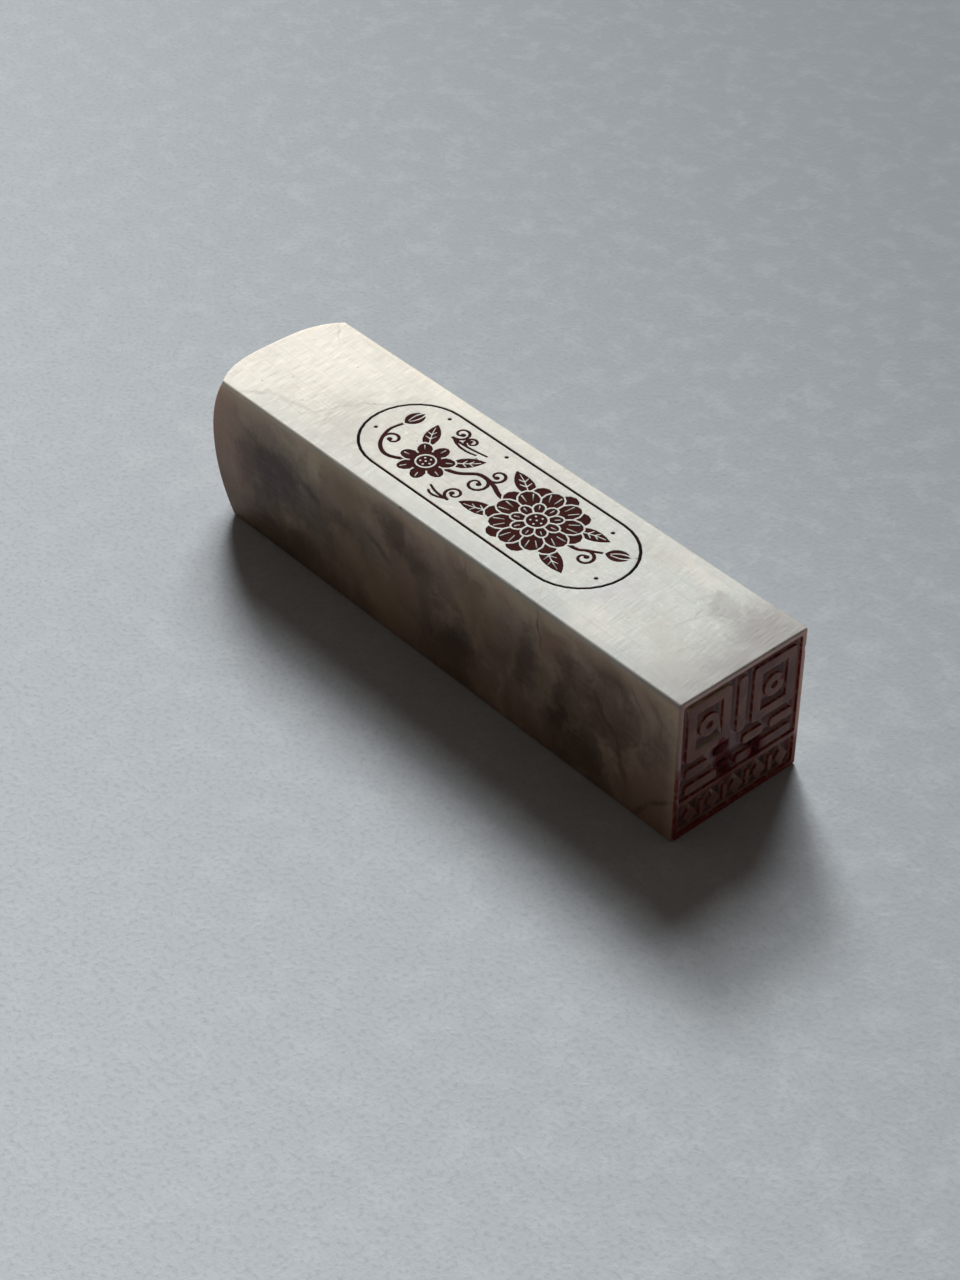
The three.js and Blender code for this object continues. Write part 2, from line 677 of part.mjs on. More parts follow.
const facePlace = new THREE.Matrix4()
  .makeBasis(new THREE.Vector3(0, 1, 0), new THREE.Vector3(0, 0, 1), new THREE.Vector3(1, 0, 0))
  .setPosition(stampFaceX, 0, bodyHeight / 2);
const ontoFace = (solid) => solidFrom(geometryFrom(solid).applyMatrix4(facePlace));

// Assembly

const seal = new THREE.Group();

function addPiece(name, solid, material, place = [0, 0, 0]) {
  const piece = new THREE.Mesh(geometryFrom(solid), material);
  piece.name = name;
  piece.position.set(...place);
  seal.add(piece);
}

const engraving = joined(pockets).translate(panelPlace);
const stone = solidFrom(blank).subtract(engraving).subtract(ontoFace(carvedGround()));
addPiece('stone_body', stone, stoneMaterial);
addPiece('frame_line_paint', framePaint, linePaintMaterial, panelPlace);
motifs.forEach(({ name }, index) => {
  addPiece(`${name}_paint`, motifPaints[index], paintMaterial, panelPlace);
});
pasteDabs.forEach((dab, index) => {
  addPiece(`ink_paste_${index + 1}`, ontoFace(dab), pasteMaterial);
});

export default seal;
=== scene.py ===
"""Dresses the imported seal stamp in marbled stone, engraved paint and dried ink paste."""

import math

import bmesh
import bpy
from bpy.props import FloatProperty, FloatVectorProperty, PointerProperty
from mathutils import Matrix, Vector, noise


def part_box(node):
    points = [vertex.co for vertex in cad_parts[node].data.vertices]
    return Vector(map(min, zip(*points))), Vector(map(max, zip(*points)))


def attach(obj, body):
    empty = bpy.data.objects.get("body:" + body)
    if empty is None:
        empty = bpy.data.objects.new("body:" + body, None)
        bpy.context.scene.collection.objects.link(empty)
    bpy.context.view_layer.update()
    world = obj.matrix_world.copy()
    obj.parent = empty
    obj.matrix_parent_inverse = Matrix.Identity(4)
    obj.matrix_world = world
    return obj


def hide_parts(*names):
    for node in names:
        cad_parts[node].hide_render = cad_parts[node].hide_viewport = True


bl_info = {
    "name": "Stone Seal Stamp",
    "version": (1, 0, 0),
    "blender": (4, 5, 0),
    "location": "View3D > Sidebar > Seal",
    "description": "Gives the seal stamp its marbled stone, engraved paint, ink paste and studio",
    "category": "Object",
}

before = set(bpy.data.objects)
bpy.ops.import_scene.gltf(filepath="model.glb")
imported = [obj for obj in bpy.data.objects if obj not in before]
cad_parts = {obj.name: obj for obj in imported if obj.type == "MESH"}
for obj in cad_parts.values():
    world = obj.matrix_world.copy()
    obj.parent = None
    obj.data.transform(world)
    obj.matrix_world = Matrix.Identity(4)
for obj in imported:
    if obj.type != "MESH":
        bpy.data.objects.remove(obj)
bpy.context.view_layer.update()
stone_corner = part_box("stone_body")[1]

BODY = "root"
PAINT_NODES = sorted(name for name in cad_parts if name.endswith("_paint"))
PASTE_NODES = sorted(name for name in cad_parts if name.startswith("ink_paste"))
LINE_NODE = "frame_line_paint"

# Scale: shapes and patterns are worked out in millimetres, and pieces are kept in metres
MM = 0.001
PER_METRE = 1000.0
STAMP_PLANE = stone_corner.x * PER_METRE
HALF_WIDTH = stone_corner.y * PER_METRE
HEIGHT = stone_corner.z * PER_METRE
MID_HEIGHT = HEIGHT / 2

# How fine the stone's mesh is
WELD = 0.0005
CUT_TOLERANCE = 0.0001
EDGE_SEGMENTS = 5
RIM_SEGMENTS = 4
STAMP_RIM_SEGMENTS = 2
DOME_CUTS = 11
SHARP_ANGLE = math.radians(34)

# How its edges and faces are told apart
LONG_EDGE = 1.0
END_FACING = -0.99
DOME_BAND = 0.5

# How squarely the dome swells across and upright: the higher, the flatter its middle
SWELL_POWERS = (3.3, 2.2)

# How far the bar's worked faces lie below the CAD's, so that no cutter's face lies in one of them
WORKED_SKIN = 0.002

# The cutters for the carving and the engraving: how far they stand out of the stone, how deep
# they go, how far they keep from the carved end's edges, and how far they pass the thin line
CUTTER_REACH = 0.6
CARVING_DEPTH = 1.0
CARVING_MARGIN = 0.2
ENGRAVING_DEPTH = 0.36
ENGRAVING_MARGIN = 1.5


def tint(red, green, blue):
    """A colour as it looks on a screen, from 0 to 255, as the light that it reflects."""
    shares = (channel / 255 for channel in (red, green, blue))
    return tuple(
        share / 12.92 if share <= 0.04045 else ((share + 0.055) / 1.055) ** 2.4
        for share in shares
    )


def opaque(colour):
    return (*colour, 1.0)


# Sizes and colours


class StoneSettings(bpy.types.PropertyGroup):
    body_length: FloatProperty(
        name="Body length",
        description="Length of the bar between its corners, without the swell of the domed end",
        default=0.0605, unit="LENGTH", precision=5,
    )
    long_edge_radius: FloatProperty(
        name="Long edge radius",
        description="Rounding of the four long edges",
        default=0.0003, unit="LENGTH", precision=5,
    )
    dome_rim_radius: FloatProperty(
        name="Dome rim radius",
        description="Rounding where the domed end meets the sides",
        default=0.00025, unit="LENGTH", precision=5,
    )
    stamp_rim_bevel: FloatProperty(
        name="Stamp rim bevel",
        description="Narrow bevel round the stamping face",
        default=0.00015, unit="LENGTH", precision=5,
    )
    swell_across: FloatProperty(
        name="Swell across",
        description="How far the domed end swells from side to side",
        default=0.002, unit="LENGTH", precision=5,
    )
    swell_upright: FloatProperty(
        name="Swell upright",
        description="How far the domed end swells from top to bottom",
        default=0.00235, unit="LENGTH", precision=5,
    )
    dome_setback: FloatProperty(
        name="Dome setback",
        description="How far the foot of the domed end lies behind its head",
        default=0.00042, unit="LENGTH", precision=5,
    )
    # Cream and grey run along the face that lies up; the change between them is partly painted
    # light, brighter towards the grip end
    cream: FloatVectorProperty(
        name="Cream",
        description="Colour of the lightest stone, at the grip end",
        default=tint(200, 197, 182), size=3, subtype="COLOR", min=0, max=1,
    )
    grey: FloatVectorProperty(
        name="Grey",
        description="Colour of the cooler stone at the stamping end",
        default=tint(178, 184, 178), size=3, subtype="COLOR", min=0, max=1,
    )
    pink: FloatVectorProperty(
        name="Pinkish cream",
        description="Colour of the sides next to the domed end, where light shines through",
        default=tint(190, 158, 140), size=3, subtype="COLOR", min=0, max=1,
    )
    # Mauve grey shows only in the near side's clouds, darkened there with painted shade
    mauve: FloatVectorProperty(
        name="Mauve grey",
        description="Colour of the soft clouds in the stone",
        default=tint(68, 46, 39), size=3, subtype="COLOR", min=0, max=1,
    )
    brown: FloatVectorProperty(
        name="Brown",
        description="Colour of the dark patches and veins in the stone",
        default=tint(84, 66, 50), size=3, subtype="COLOR", min=0, max=1,
    )
    ink: FloatVectorProperty(
        name="Ink stain",
        description="Colour of the ink left on the walls of the carving",
        default=tint(106, 14, 17), size=3, subtype="COLOR", min=0, max=1,
    )


class PaintSettings(bpy.types.PropertyGroup):
    # The darker rim is painted shade, where the engraving's walls shade the paint
    rim_width: FloatProperty(
        name="Rim width",
        description="Width of the darker rim that the paint has along its outline",
        default=0.00012, unit="LENGTH", precision=5,
    )
    edge_softness: FloatProperty(
        name="Edge softness",
        description="Rounding of the paint's edges",
        default=0.00002, unit="LENGTH", precision=5,
    )
    body_colour: FloatVectorProperty(
        name="Paint",
        description="Colour of the paint in the motifs",
        default=tint(60, 23, 20), size=3, subtype="COLOR", min=0, max=1,
    )
    # Along the motifs' outlines this colour is painted shade; in the thin line and the paint's dark
    # grains it is the paint's own
    rim_colour: FloatVectorProperty(
        name="Rim",
        description="Colour of the paint along the outlines and in the thin line",
        default=tint(10, 5, 4), size=3, subtype="COLOR", min=0, max=1,
    )


class PasteSettings(bpy.types.PropertyGroup):
    grain: FloatProperty(
        name="Grain",
        description="Size of the lumps on the dried paste",
        default=0.0003, unit="LENGTH", precision=5,
    )
    colour: FloatVectorProperty(
        name="Paste",
        description="Colour of the dried ink paste",
        default=tint(92, 14, 20), size=3, subtype="COLOR", min=0, max=1,
    )


class StageSettings(bpy.types.PropertyGroup):
    floor_size: FloatProperty(
        name="Floor size",
        description="Length of the floor's side",
        default=6.0, unit="LENGTH",
    )
    floor_colour: FloatVectorProperty(
        name="Floor",
        description="Colour of the floor",
        default=tint(132, 140, 147), size=3, subtype="COLOR", min=0, max=1,
    )
    window_light: FloatProperty(
        name="Window light",
        description="Light from the window on the floor, where 1 shows a colour as it is written",
        default=0.86, min=0,
    )
    room_light: FloatProperty(
        name="Room light",
        description="Light from all round, where 1 shows a colour as it is written",
        default=0.1, min=0,
    )
    lens: FloatProperty(
        name="Lens",
        description="Focal length of the camera",
        default=76.38, unit="CAMERA",
    )


# Finishes, written as expressions


class Wire:
    """A socket of a shader. Arithmetic on it adds Math nodes."""

    def __init__(self, shader, socket):
        self.shader = shader
        self.socket = socket

    def math(self, operation, first, second):
        return self.shader.node("ShaderNodeMath", {"operation": operation}, {0: first, 1: second})

    def __add__(self, other):
        return self.math("ADD", self, other)

    def __radd__(self, other):
        return self.math("ADD", other, self)

    def __sub__(self, other):
        return self.math("SUBTRACT", self, other)

    def __rsub__(self, other):
        return self.math("SUBTRACT", other, self)

    def __mul__(self, other):
        return self.math("MULTIPLY", self, other)

    def __rmul__(self, other):
        return self.math("MULTIPLY", other, self)

    def __abs__(self):
        return self.shader.node("ShaderNodeMath", {"operation": "ABSOLUTE"}, {0: self})

    def at_most(self, other):
        return self.math("MINIMUM", self, other)

    def at_least(self, other):
        return self.math("MAXIMUM", self, other)


class Shader:
    """The nodes of a material or of the world, with the words that they are written in."""

    MIX_FACTOR, MIX_FIRST, MIX_SECOND, MIX_RESULT = 0, 6, 7, 2
    SPOT_END = 1.8

    def __init__(self, owner):
        owner.use_nodes = True
        self.tree = owner.node_tree
        self.tree.nodes.clear()

    def node(self, kind, settings=None, inputs=None, output=0):
        """Adds a node: its settings first, then the values or links of its sockets."""
        made = self.tree.nodes.new(kind)
        for name, value in (settings or {}).items():
            setattr(made, name, value)
        for name, value in (inputs or {}).items():
            if isinstance(value, Wire):
                self.tree.links.new(value.socket, made.inputs[name])
            else:
                made.inputs[name].default_value = value
        return Wire(self, made.outputs[output]) if made.outputs else None

    def vector(self, operation, first, second=(0, 0, 0), scale=1.0, output=0):
        inputs = {0: first, 1: second}
        if operation == "SCALE":
            inputs["Scale"] = scale
        return self.node("ShaderNodeVectorMath", {"operation": operation}, inputs, output)

    def distance(self, first, second):
        return self.vector("DISTANCE", first, second, output="Value")

    def axes(self, place):
        split = self.node("ShaderNodeSeparateXYZ", inputs={0: place})
        outputs = split.socket.node.outputs
        return tuple(Wire(self, outputs[index]) for index in range(3))

    def along_grain(self, place, turn, stretch):
        """The place, turned by degrees and stretched, for a pattern that runs along a grain."""
        turn = tuple(math.radians(angle) for angle in turn)
        inputs = {0: place, "Rotation": turn, "Scale": stretch}
        return self.node("ShaderNodeMapping", {"vector_type": "TEXTURE"}, inputs)

    def clouds(self, place, size, detail=4.0, roughness=0.55, output=0):
        """Soft noise whose lumps are about that many millimetres across."""
        inputs = {"Vector": place, "Scale": 1 / size, "Detail": detail, "Roughness": roughness}
        return self.node("ShaderNodeTexNoise", {"noise_dimensions": "3D"}, inputs, output)

    def cells(self, place, size, output="Distance"):
        inputs = {"Vector": place, "Scale": 1 / size}
        return self.node("ShaderNodeTexVoronoi", {"feature": "F1"}, inputs, output)

    def between(self, value, start, end, low=0.0, high=1.0):
        """Goes smoothly from low to high while the value goes from start to end."""
        inputs = {"Value": value, "From Min": start, "From Max": end, "To Min": low, "To Max": high}
        return self.node("ShaderNodeMapRange", {"interpolation_type": "SMOOTHSTEP"}, inputs)

    def spot(self, place, middle, reach, turn):
        """How near a place is to a spot's middle: 1 in it, and 0 from SPOT_END reaches on."""
        spread = tuple(part * self.SPOT_END for part in reach)
        inputs = {0: place, "Location": middle, "Rotation": turn, "Scale": spread}
        around = self.node("ShaderNodeMapping", {"vector_type": "TEXTURE"}, inputs)
        settings = {"gradient_type": "SPHERICAL"}
        return self.node("ShaderNodeTexGradient", settings, {0: around}, "Fac")

    def within(self, spot, outer, inner, high):
        """Goes smoothly from 0 to high while a spot's place goes from outer to inner reaches."""
        return self.between(spot, 1 - outer / self.SPOT_END, 1 - inner / self.SPOT_END, 0.0, high)

    def mix(self, factor, first, second, blend="MIX"):
        inputs = {self.MIX_FACTOR: factor, self.MIX_FIRST: first, self.MIX_SECOND: second}
        settings = {"data_type": "RGBA", "blend_type": blend, "clamp_factor": True}
        return self.node("ShaderNodeMix", settings, inputs, self.MIX_RESULT)

    def facing(self, way, radius, samples):
        """How far the surface, rounded by a radius in metres, faces a way: 1 where it does."""
        rounded = self.node("ShaderNodeBevel", {"samples": samples}, {"Radius": radius})
        return self.vector("DOT_PRODUCT", rounded, way, output="Value")

    def bump(self, height, distance):
        """Relief of that height in millimetres where the pattern is 1."""
        return self.node("ShaderNodeBump", inputs={"Height": height, "Distance": distance * MM})


class Finish(Shader):
    """A material whose patterns are placed on the piece, in millimetres, and painted in tones."""

    def __init__(self, name, tones):
        self.material = bpy.data.materials.new(name)
        super().__init__(self.material)
        self.tones = tones
        self.place = self.vector(
            "SCALE", self.node("ShaderNodeTexCoord", output="Object"), scale=PER_METRE,
        )

    def blend(self, factor, first, second):
        """Goes from one tone to another."""
        return self.mix(factor, opaque(self.tones[first]), opaque(self.tones[second]))

    def lay(self, factor, colour, tone):
        """Lays a tone over a colour."""
        return self.mix(factor, colour, opaque(self.tones[tone]))

    def finished(self, **inputs):
        """Closes the material with its surface shader."""
        inputs = {name.replace("_", " "): value for name, value in inputs.items()}
        settings = {"subsurface_method": "RANDOM_WALK"}
        surface = self.node("ShaderNodeBsdfPrincipled", settings, inputs)
        self.node("ShaderNodeOutputMaterial", inputs={"Surface": surface})
        return self.material


# Tones of the stone, beside the ones that its settings hold
STONE_TONES = {
    "pale": tint(206, 196, 170),
    # tan to russet are the near side's cloud and vein tones, darkened with that side's painted
    # shade; umber is also the painted shade laid on the sides
    "tan": tint(142, 124, 99),
    "rosy": tint(140, 114, 99),
    "blue_grey": tint(104, 94, 82),
    "dark": tint(58, 43, 32),
    "ochre": tint(82, 66, 40),
    "umber": tint(80, 62, 46),
    "russet": tint(88, 54, 42),
    "lilac": tint(176, 170, 178),
    "ivory": tint(219, 214, 200),
    "shade": tint(128, 127, 124),
    "smoke": tint(164, 160, 149),
    "sand": tint(190, 178, 158),
    "blush": tint(184, 163, 150),
    "straw": tint(176, 160, 138),
    "fawn": tint(146, 124, 104),
    # lit_edge: painted light where light shines through the stone's edges
    "lit_edge": tint(200, 184, 160),
    "fleck": tint(242, 240, 230),
    # cool_strip: partly painted shade along the top's near edge
    "cool_strip": tint(160, 165, 162),
    "ground": tint(156, 132, 138),
    # low_ground and low_stroke: darker towards the foot, partly ink and partly painted shade
    "low_ground": tint(112, 78, 80),
    "stroke": tint(130, 91, 87),
    "worn_stroke": tint(105, 74, 77),
    "low_stroke": tint(92, 38, 35),
    "outer_stroke": tint(204, 174, 172),
    "thick_ink": tint(96, 3, 14),
}
# Warm tint of the painted shade on the near side, by which its colour is multiplied
NEAR_SIDE_SHADE_WARMTH = (1.0, 0.93, 0.86)

# Tones of the other finishes
PAINT_TONES = {"worn": tint(80, 38, 34), "dusty": tint(102, 68, 62)}
PASTE_TONES = {"wet": tint(52, 8, 12), "dry": tint(140, 44, 44)}
FLOOR_TONES = {
    # The floor's lighter side is painted light
    "painted_light": tint(188, 196, 203),
    "far": tint(190, 197, 203),
    "mottle": tint(196, 204, 209),
    "fibre": tint(140, 148, 154),
}

# Grains that patterns run along: turn in degrees, and stretch in millimetres
STEEP_GRAIN = ((0, 62, 20), (2.8, 1.0, 1.0))
LENGTHWISE_GRAIN = ((0, 0, -2), (9.0, 0.22, 0.22))
CROSSWISE_GRAIN = ((0, 0, 5), (0.08, 2.2, 2.2))
HATCHING_GRAIN = ((0, 0, 38), (1.6, 0.12, 1.0))

# Clouds in the near side: tone, middle, reach, slant in degrees and strength, in millimetres
# Their tones are darkened with painted shade, as they show on the near side only
SIDE_CLOUDS = [
    ("umber", (-23.6, 8.8), (6.0, 4.4), 0, 0.5),
    ("pink", (-29.0, 10.0), (4.4, 7.6), -20, 0.45),
    ("tan", (-10.5, 12.6), (5.0, 2.8), 10, 0.8),
    ("tan", (-8.6, 5.6), (4.4, 2.4), 25, 0.65),
    ("rosy", (-2.4, 7.6), (2.4, 3.0), 0, 0.7),
    ("rosy", (17.2, 11.6), (2.0, 3.4), 0, 0.8),
    ("rosy", (29.6, 4.0), (3.2, 4.0), 30, 0.7),
    ("tan", (7.2, 9.2), (3.6, 3.4), 60, 0.6),
    ("tan", (-5.0, 3.0), (2.8, 3.6), 30, 0.55),
    ("rosy", (29.4, 1.4), (3.4, 2.6), 0, 0.8),
    ("rosy", (25.5, 13.8), (6.0, 1.5), 0, 0.45),
    ("pale", (-15.6, 12.9), (1.2, 2.3), 20, 0.5),
    ("blue_grey", (-16.4, 7.0), (2.2, 3.0), -20, 0.8),
    ("blue_grey", (0.4, 7.4), (1.3, 2.4), 15, 0.5),
    ("blue_grey", (6.8, 7.0), (1.0, 3.4), 10, 0.4),
    ("mauve", (-20.6, 9.6), (4.4, 2.8), -28, 0.85),
    ("mauve", (-22.4, 5.8), (2.0, 3.0), 30, 0.75),
    ("mauve", (-25.4, 8.2), (2.3, 3.4), 0, 0.6),
    ("mauve", (14.0, 7.8), (1.4, 3.6), 8, 0.65),
    ("mauve", (29.0, 8.6), (1.4, 2.8), 12, 0.3),
    ("brown", (-3.6, 12.2), (2.0, 2.4), -30, 0.8),
    ("brown", (-0.4, 11.4), (3.0, 1.7), 25, 0.6),
    ("brown", (-11.2, 8.4), (3.0, 1.3), -20, 0.5),
    ("brown", (20.6, 10.4), (2.8, 1.4), 10, 0.55),
    ("brown", (23.9, 12.9), (2.8, 1.7), 25, 0.6),
    ("brown", (23.4, 6.4), (2.4, 3.4), 40, 0.6),
    ("russet", (24.2, 8.8), (3.0, 3.6), -30, 0.5),
    ("russet", (19.4, 8.6), (1.6, 2.6), 20, 0.35),
    ("dark", (-20.5, 1.0), (6.0, 2.4), -8, 0.95),
    ("dark", (-11.5, 0.6), (4.6, 1.7), 0, 0.45),
    ("dark", (1.2, 3.2), (2.0, 3.4), 0, 0.6),
    ("dark", (4.6, 3.2), (3.2, 2.9), 20, 0.85),
    ("dark", (18.2, 4.0), (1.5, 4.6), 8, 0.9),
    ("dark", (21.8, 2.2), (3.4, 2.4), 10, 0.95),
    ("dark", (19.6, 1.4), (1.8, 2.2), 0, 0.8),
]

# Clouds in the face that lies up, in the same words
TOP_CLOUDS = [
    ("ivory", (-25.0, 3.0), (9.0, 6.0), 10, 0.6),
    ("ivory", (-27.5, -5.5), (4.0, 3.0), 0, 0.6),
    ("ivory", (-14.0, 6.8), (6.0, 1.4), 0, 0.5),
    ("smoke", (-15.2, -2.6), (5.4, 3.6), 20, 0.7),
    ("smoke", (-14.0, 0.8), (4.0, 2.6), -30, 0.45),
    ("smoke", (-11.5, -4.8), (3.4, 1.6), 0, 0.4),
    ("smoke", (17.0, 5.4), (3.4, 1.8), 10, 0.4),
    ("smoke", (-0.5, 0.3), (14.0, 4.6), 0, 0.4),
    ("lilac", (18.4, -0.6), (2.2, 3.2), 15, 0.3),
    ("shade", (26.6, 4.4), (2.4, 1.6), -20, 0.6),
    ("shade", (30.2, 4.8), (3.8, 3.8), -35, 0.95),
    ("shade", (31.8, 0.8), (1.8, 5.6), 0, 0.8),
    ("smoke", (25.2, -2.8), (3.2, 2.0), 20, 0.35),
    ("smoke", (28.6, -4.2), (3.0, 3.0), 0, 0.4),
    ("ivory", (21.0, 6.2), (3.4, 1.4), 0, 0.35),
    ("ivory", (20.5, -5.4), (3.0, 2.0), 0, 0.3),
]

# Veins and cracks: tone, points, half width and strength, in millimetres
# The near side's veins, in tones darkened with painted shade; the face that lies up has its own
SIDE_VEINS = [
    ("brown", ((15.2, 15.4), (15.8, 11.0)), 0.12, 0.7),
    ("dark", ((22.4, 10.6), (23.6, 8.6), (25.4, 6.9), (26.6, 2.6)), 0.3, 0.5),
    ("brown", ((26.6, 13.9), (28.6, 11.3)), 0.14, 0.5),
    ("ochre", ((27.7, 0.2), (29.4, 2.6), (32.1, 4.5)), 0.3, 0.95),
    ("dark", ((-17.3, 10.5), (-14.4, 9.3)), 0.5, 0.6),
    ("brown", ((-7.2, 9.8), (-4.2, 8.3)), 0.36, 0.6),
    ("brown", ((6.1, 14.8), (6.3, 13.0)), 0.07, 0.7),
]
TOP_VEINS = [
    ("smoke", ((-25.8, -7.1), (-23.8, -5.1), (-18.9, -4.2)), 0.26, 0.65),
    ("smoke", ((-19.0, -4.6), (-17.0, 0.0), (-15.3, 1.7)), 0.14, 0.9),
    ("smoke", ((-28.5, 6.6), (-26.2, 4.8)), 0.12, 0.6),
    ("shade", ((25.3, 1.0), (24.7, 2.7), (24.9, 4.3)), 0.1, 0.45),
    ("shade", ((24.8, -0.3), (25.9, 2.7), (27.6, 3.5)), 0.09, 0.42),
    ("smoke", ((15.2, -7.4), (13.6, -5.3)), 0.08, 0.8),
]

# Where a mark begins to show and where it shows in full, in reaches from its middle
CLOUD_EDGE = (1.4, 0.3)
VEIN_EDGE = (1.6, 0.2)

# How far marks go into the stone, in millimetres, on the near side and on the face that lies up
SIDE_CLOUD_DEPTH, TOP_CLOUD_DEPTH = 4.0, 2.0
SIDE_VEIN_DEPTH, TOP_VEIN_DEPTH = 1.5, 0.8

# A vein's spindle reaches this share of its stretch from its middle, so that stretches overlap
VEIN_OVERLAP = 0.62

# The carving, in millimetres: its edge, and the depths where its strokes end and its ground lies
CARVING_RIM = (0.15, 0.2)
STROKE_SKIN = (0.03, 0.015)
GROUND_START = (0.25, 0.55)
GROUND_END = (0.76, 0.73)
CARVING_END = (0.76, 0.74)

# How far round a dab of paste its ink has spread, and how far apart pits lie, in millimetres
STAIN_REACH = (1.6, 0.8)
PIT_SPACING = 0.7


def slanted(turn, on_top):
    """A turn in the plane of the face that lies up, or of the near side, to the right and down."""
    return (0.0, 0.0, -turn) if on_top else (0.0, turn, 0.0)


def on_face(point, on_top):
    """A point of the face that lies up, or of the near side."""
    return (point[0], point[1], HEIGHT) if on_top else (point[0], -HALF_WIDTH, point[1])


def spread(length, width, depth, on_top):
    """A mark's reach along the bar, across its face and into it."""
    return (length, width, depth) if on_top else (length, depth, width)


def by_tone(marks):
    """A list of marks, tone by tone."""
    tones = dict.fromkeys(mark[0] for mark in marks)
    return {tone: [mark[1:] for mark in marks if mark[0] == tone] for tone in tones}


class StoneFinish(Finish):
    """Marbled soft stone with a satin polish, and a carved end that ink has stained."""

    def __init__(self, settings):
        chosen = ("cream", "grey", "pink", "mauve", "brown", "ink")
        tones = STONE_TONES | {name: getattr(settings, name) for name in chosen}
        super().__init__("marbled_stone", tones)
        self.along, self.across, self.up = self.axes(self.place)

        # How far a point is from the sides, the top or foot, and the stamping plane
        from_side = HALF_WIDTH - abs(self.across)
        from_top = MID_HEIGHT - abs(self.up - MID_HEIGHT)
        self.from_face = STAMP_PLANE - self.along
        self.from_rim = from_side.at_most(from_top)

        self.pushed = self.pushed_about(size=5.0, reach=7.0, detail=4.0)
        self.shaken = self.pushed_about(size=1.3, reach=0.9, detail=3.0)
        steep = self.along_grain(self.pushed, *STEEP_GRAIN)
        self.broad_clouds = self.clouds(self.pushed, 6.5, detail=3.0, roughness=0.5)
        self.low_clouds = self.clouds(steep, 2.6, detail=5.0, roughness=0.6)
        self.fine_clouds = self.clouds(self.pushed, 0.8, detail=4.0, roughness=0.65)

    def pushed_about(self, size, reach, detail):
        """The place, pushed about at random, so that what is drawn on it has no plain outline."""
        push = self.clouds(self.place, size, detail=detail, roughness=0.6, output="Color")
        push = self.vector("SUBTRACT", push, (0.5, 0.5, 0.5))
        return self.vector("ADD", self.place, self.vector("SCALE", push, scale=reach))

    def spotted(self, colour, marks, ripple, shown, on_top):
        """Lays a face's clouds over a colour, tone by tone."""
        depth = TOP_CLOUD_DEPTH if on_top else SIDE_CLOUD_DEPTH
        for tone, clouds in by_tone(marks).items():
            cover = 0.0
            for middle, reach, slant, strength in clouds:
                turn = slanted(math.radians(slant), on_top)
                size = spread(*reach, depth, on_top)
                spot = self.spot(self.pushed, on_face(middle, on_top), size, turn)
                cover = self.within(spot + ripple, *CLOUD_EDGE, strength).at_least(cover)
            colour = self.lay(cover * shown, colour, tone)
        return colour

    def veined(self, colour, marks, shown, on_top):
        """Draws a face's veins and cracks, each stretch of them as a spindle."""
        depth = TOP_VEIN_DEPTH if on_top else SIDE_VEIN_DEPTH
        for tone, veins in by_tone(marks).items():
            cover = 0.0
            for points, half_width, strength in veins:
                for start, end in zip(points, points[1:]):
                    run, climb = end[0] - start[0], end[1] - start[1]
                    middle = (start[0] + run / 2, start[1] + climb / 2)
                    length = math.hypot(run, climb) * VEIN_OVERLAP
                    turn = slanted(-math.atan2(climb, run), on_top)
                    size = spread(length, half_width, depth, on_top)
                    spot = self.spot(self.shaken, on_face(middle, on_top), size, turn)
                    cover = self.within(spot, *VEIN_EDGE, strength).at_least(cover)
            colour = self.lay(cover * shown, colour, tone)
        return colour

    def polished(self):
        """The polished faces: the sides, and the face that lies up."""
        up, from_face = self.up, self.from_face
        fine_clouds, low_clouds = self.fine_clouds, self.low_clouds

        # Sides: soft clouds of mauve, brown and grey in a tan ground, darkened on the near side by
        # painted shade
        near = self.between(self.across, HALF_WIDTH * -0.2, HALF_WIDTH * -0.8)
        sides = self.blend(self.between(self.broad_clouds, 0.4, 0.62), "sand", "blush")
        # Painted shade: umber, deepening downwards, strongest on the near side and faint on the
        # others
        shading = self.between(up, 14.2, 8.5, 0.25, 0.72) * (near * 0.76 + 0.24)
        sides = self.lay(shading, sides, "umber")
        deeper = self.between(low_clouds, 0.43, 0.68) * (near * 0.24 + 0.26)
        sides = self.lay(deeper, sides, "brown")
        wisps = self.between(low_clouds, 0.47, 0.3) * self.between(up, 2.0, 14.0, 0.5, 0.4)
        sides = self.lay(wisps, sides, "straw")
        ripple = fine_clouds * 0.4 - 0.2
        sides = self.spotted(sides, SIDE_CLOUDS, ripple, near, on_top=False)
        sides = self.veined(sides, SIDE_VEINS, near, on_top=False)
        sides = self.lay(self.between(up, 6.0, 0.5) * near * 0.32, sides, "fawn")
        # Painted light along the upper edge of the sides and next to the carved end, where light
        # shines through the stone
        upper_light = self.between(HEIGHT - up, 2.4, 0.3)
        edge_light = upper_light.at_least(self.between(from_face, 1.4, 0.1) * 0.6)
        sides = self.lay(edge_light * 0.5, sides, "lit_edge")
        # The painted shade on the near side is warm: its colour is multiplied by a warm tint
        sides = self.mix(near, sides, opaque(NEAR_SIDE_SHADE_WARMTH), "MULTIPLY")

        # The face that lies up: cream, cooler towards the carving, with few clouds
        # Partly painted light: brighter cream towards the grip end, greyer towards the carving
        drift = self.between(self.along, -26.0, 24.0)
        top = self.blend(drift, "cream", "grey")
        mottle = self.clouds(self.place, 2.4, detail=5.0, roughness=0.6)
        top = self.lay(self.between(mottle, 0.5, 0.7) * 0.3, top, "smoke")
        speckle = self.clouds(self.place, 0.28, detail=2.0, roughness=0.6)
        top = self.lay(self.between(speckle, 0.5, 0.7) * (drift * 0.2 + 0.2), top, "smoke")
        top = self.lay(self.between(fine_clouds, 0.52, 0.72) * (drift * 0.24 + 0.2), top, "smoke")
        top = self.lay(self.between(fine_clouds, 0.46, 0.3) * 0.2, top, "fleck")
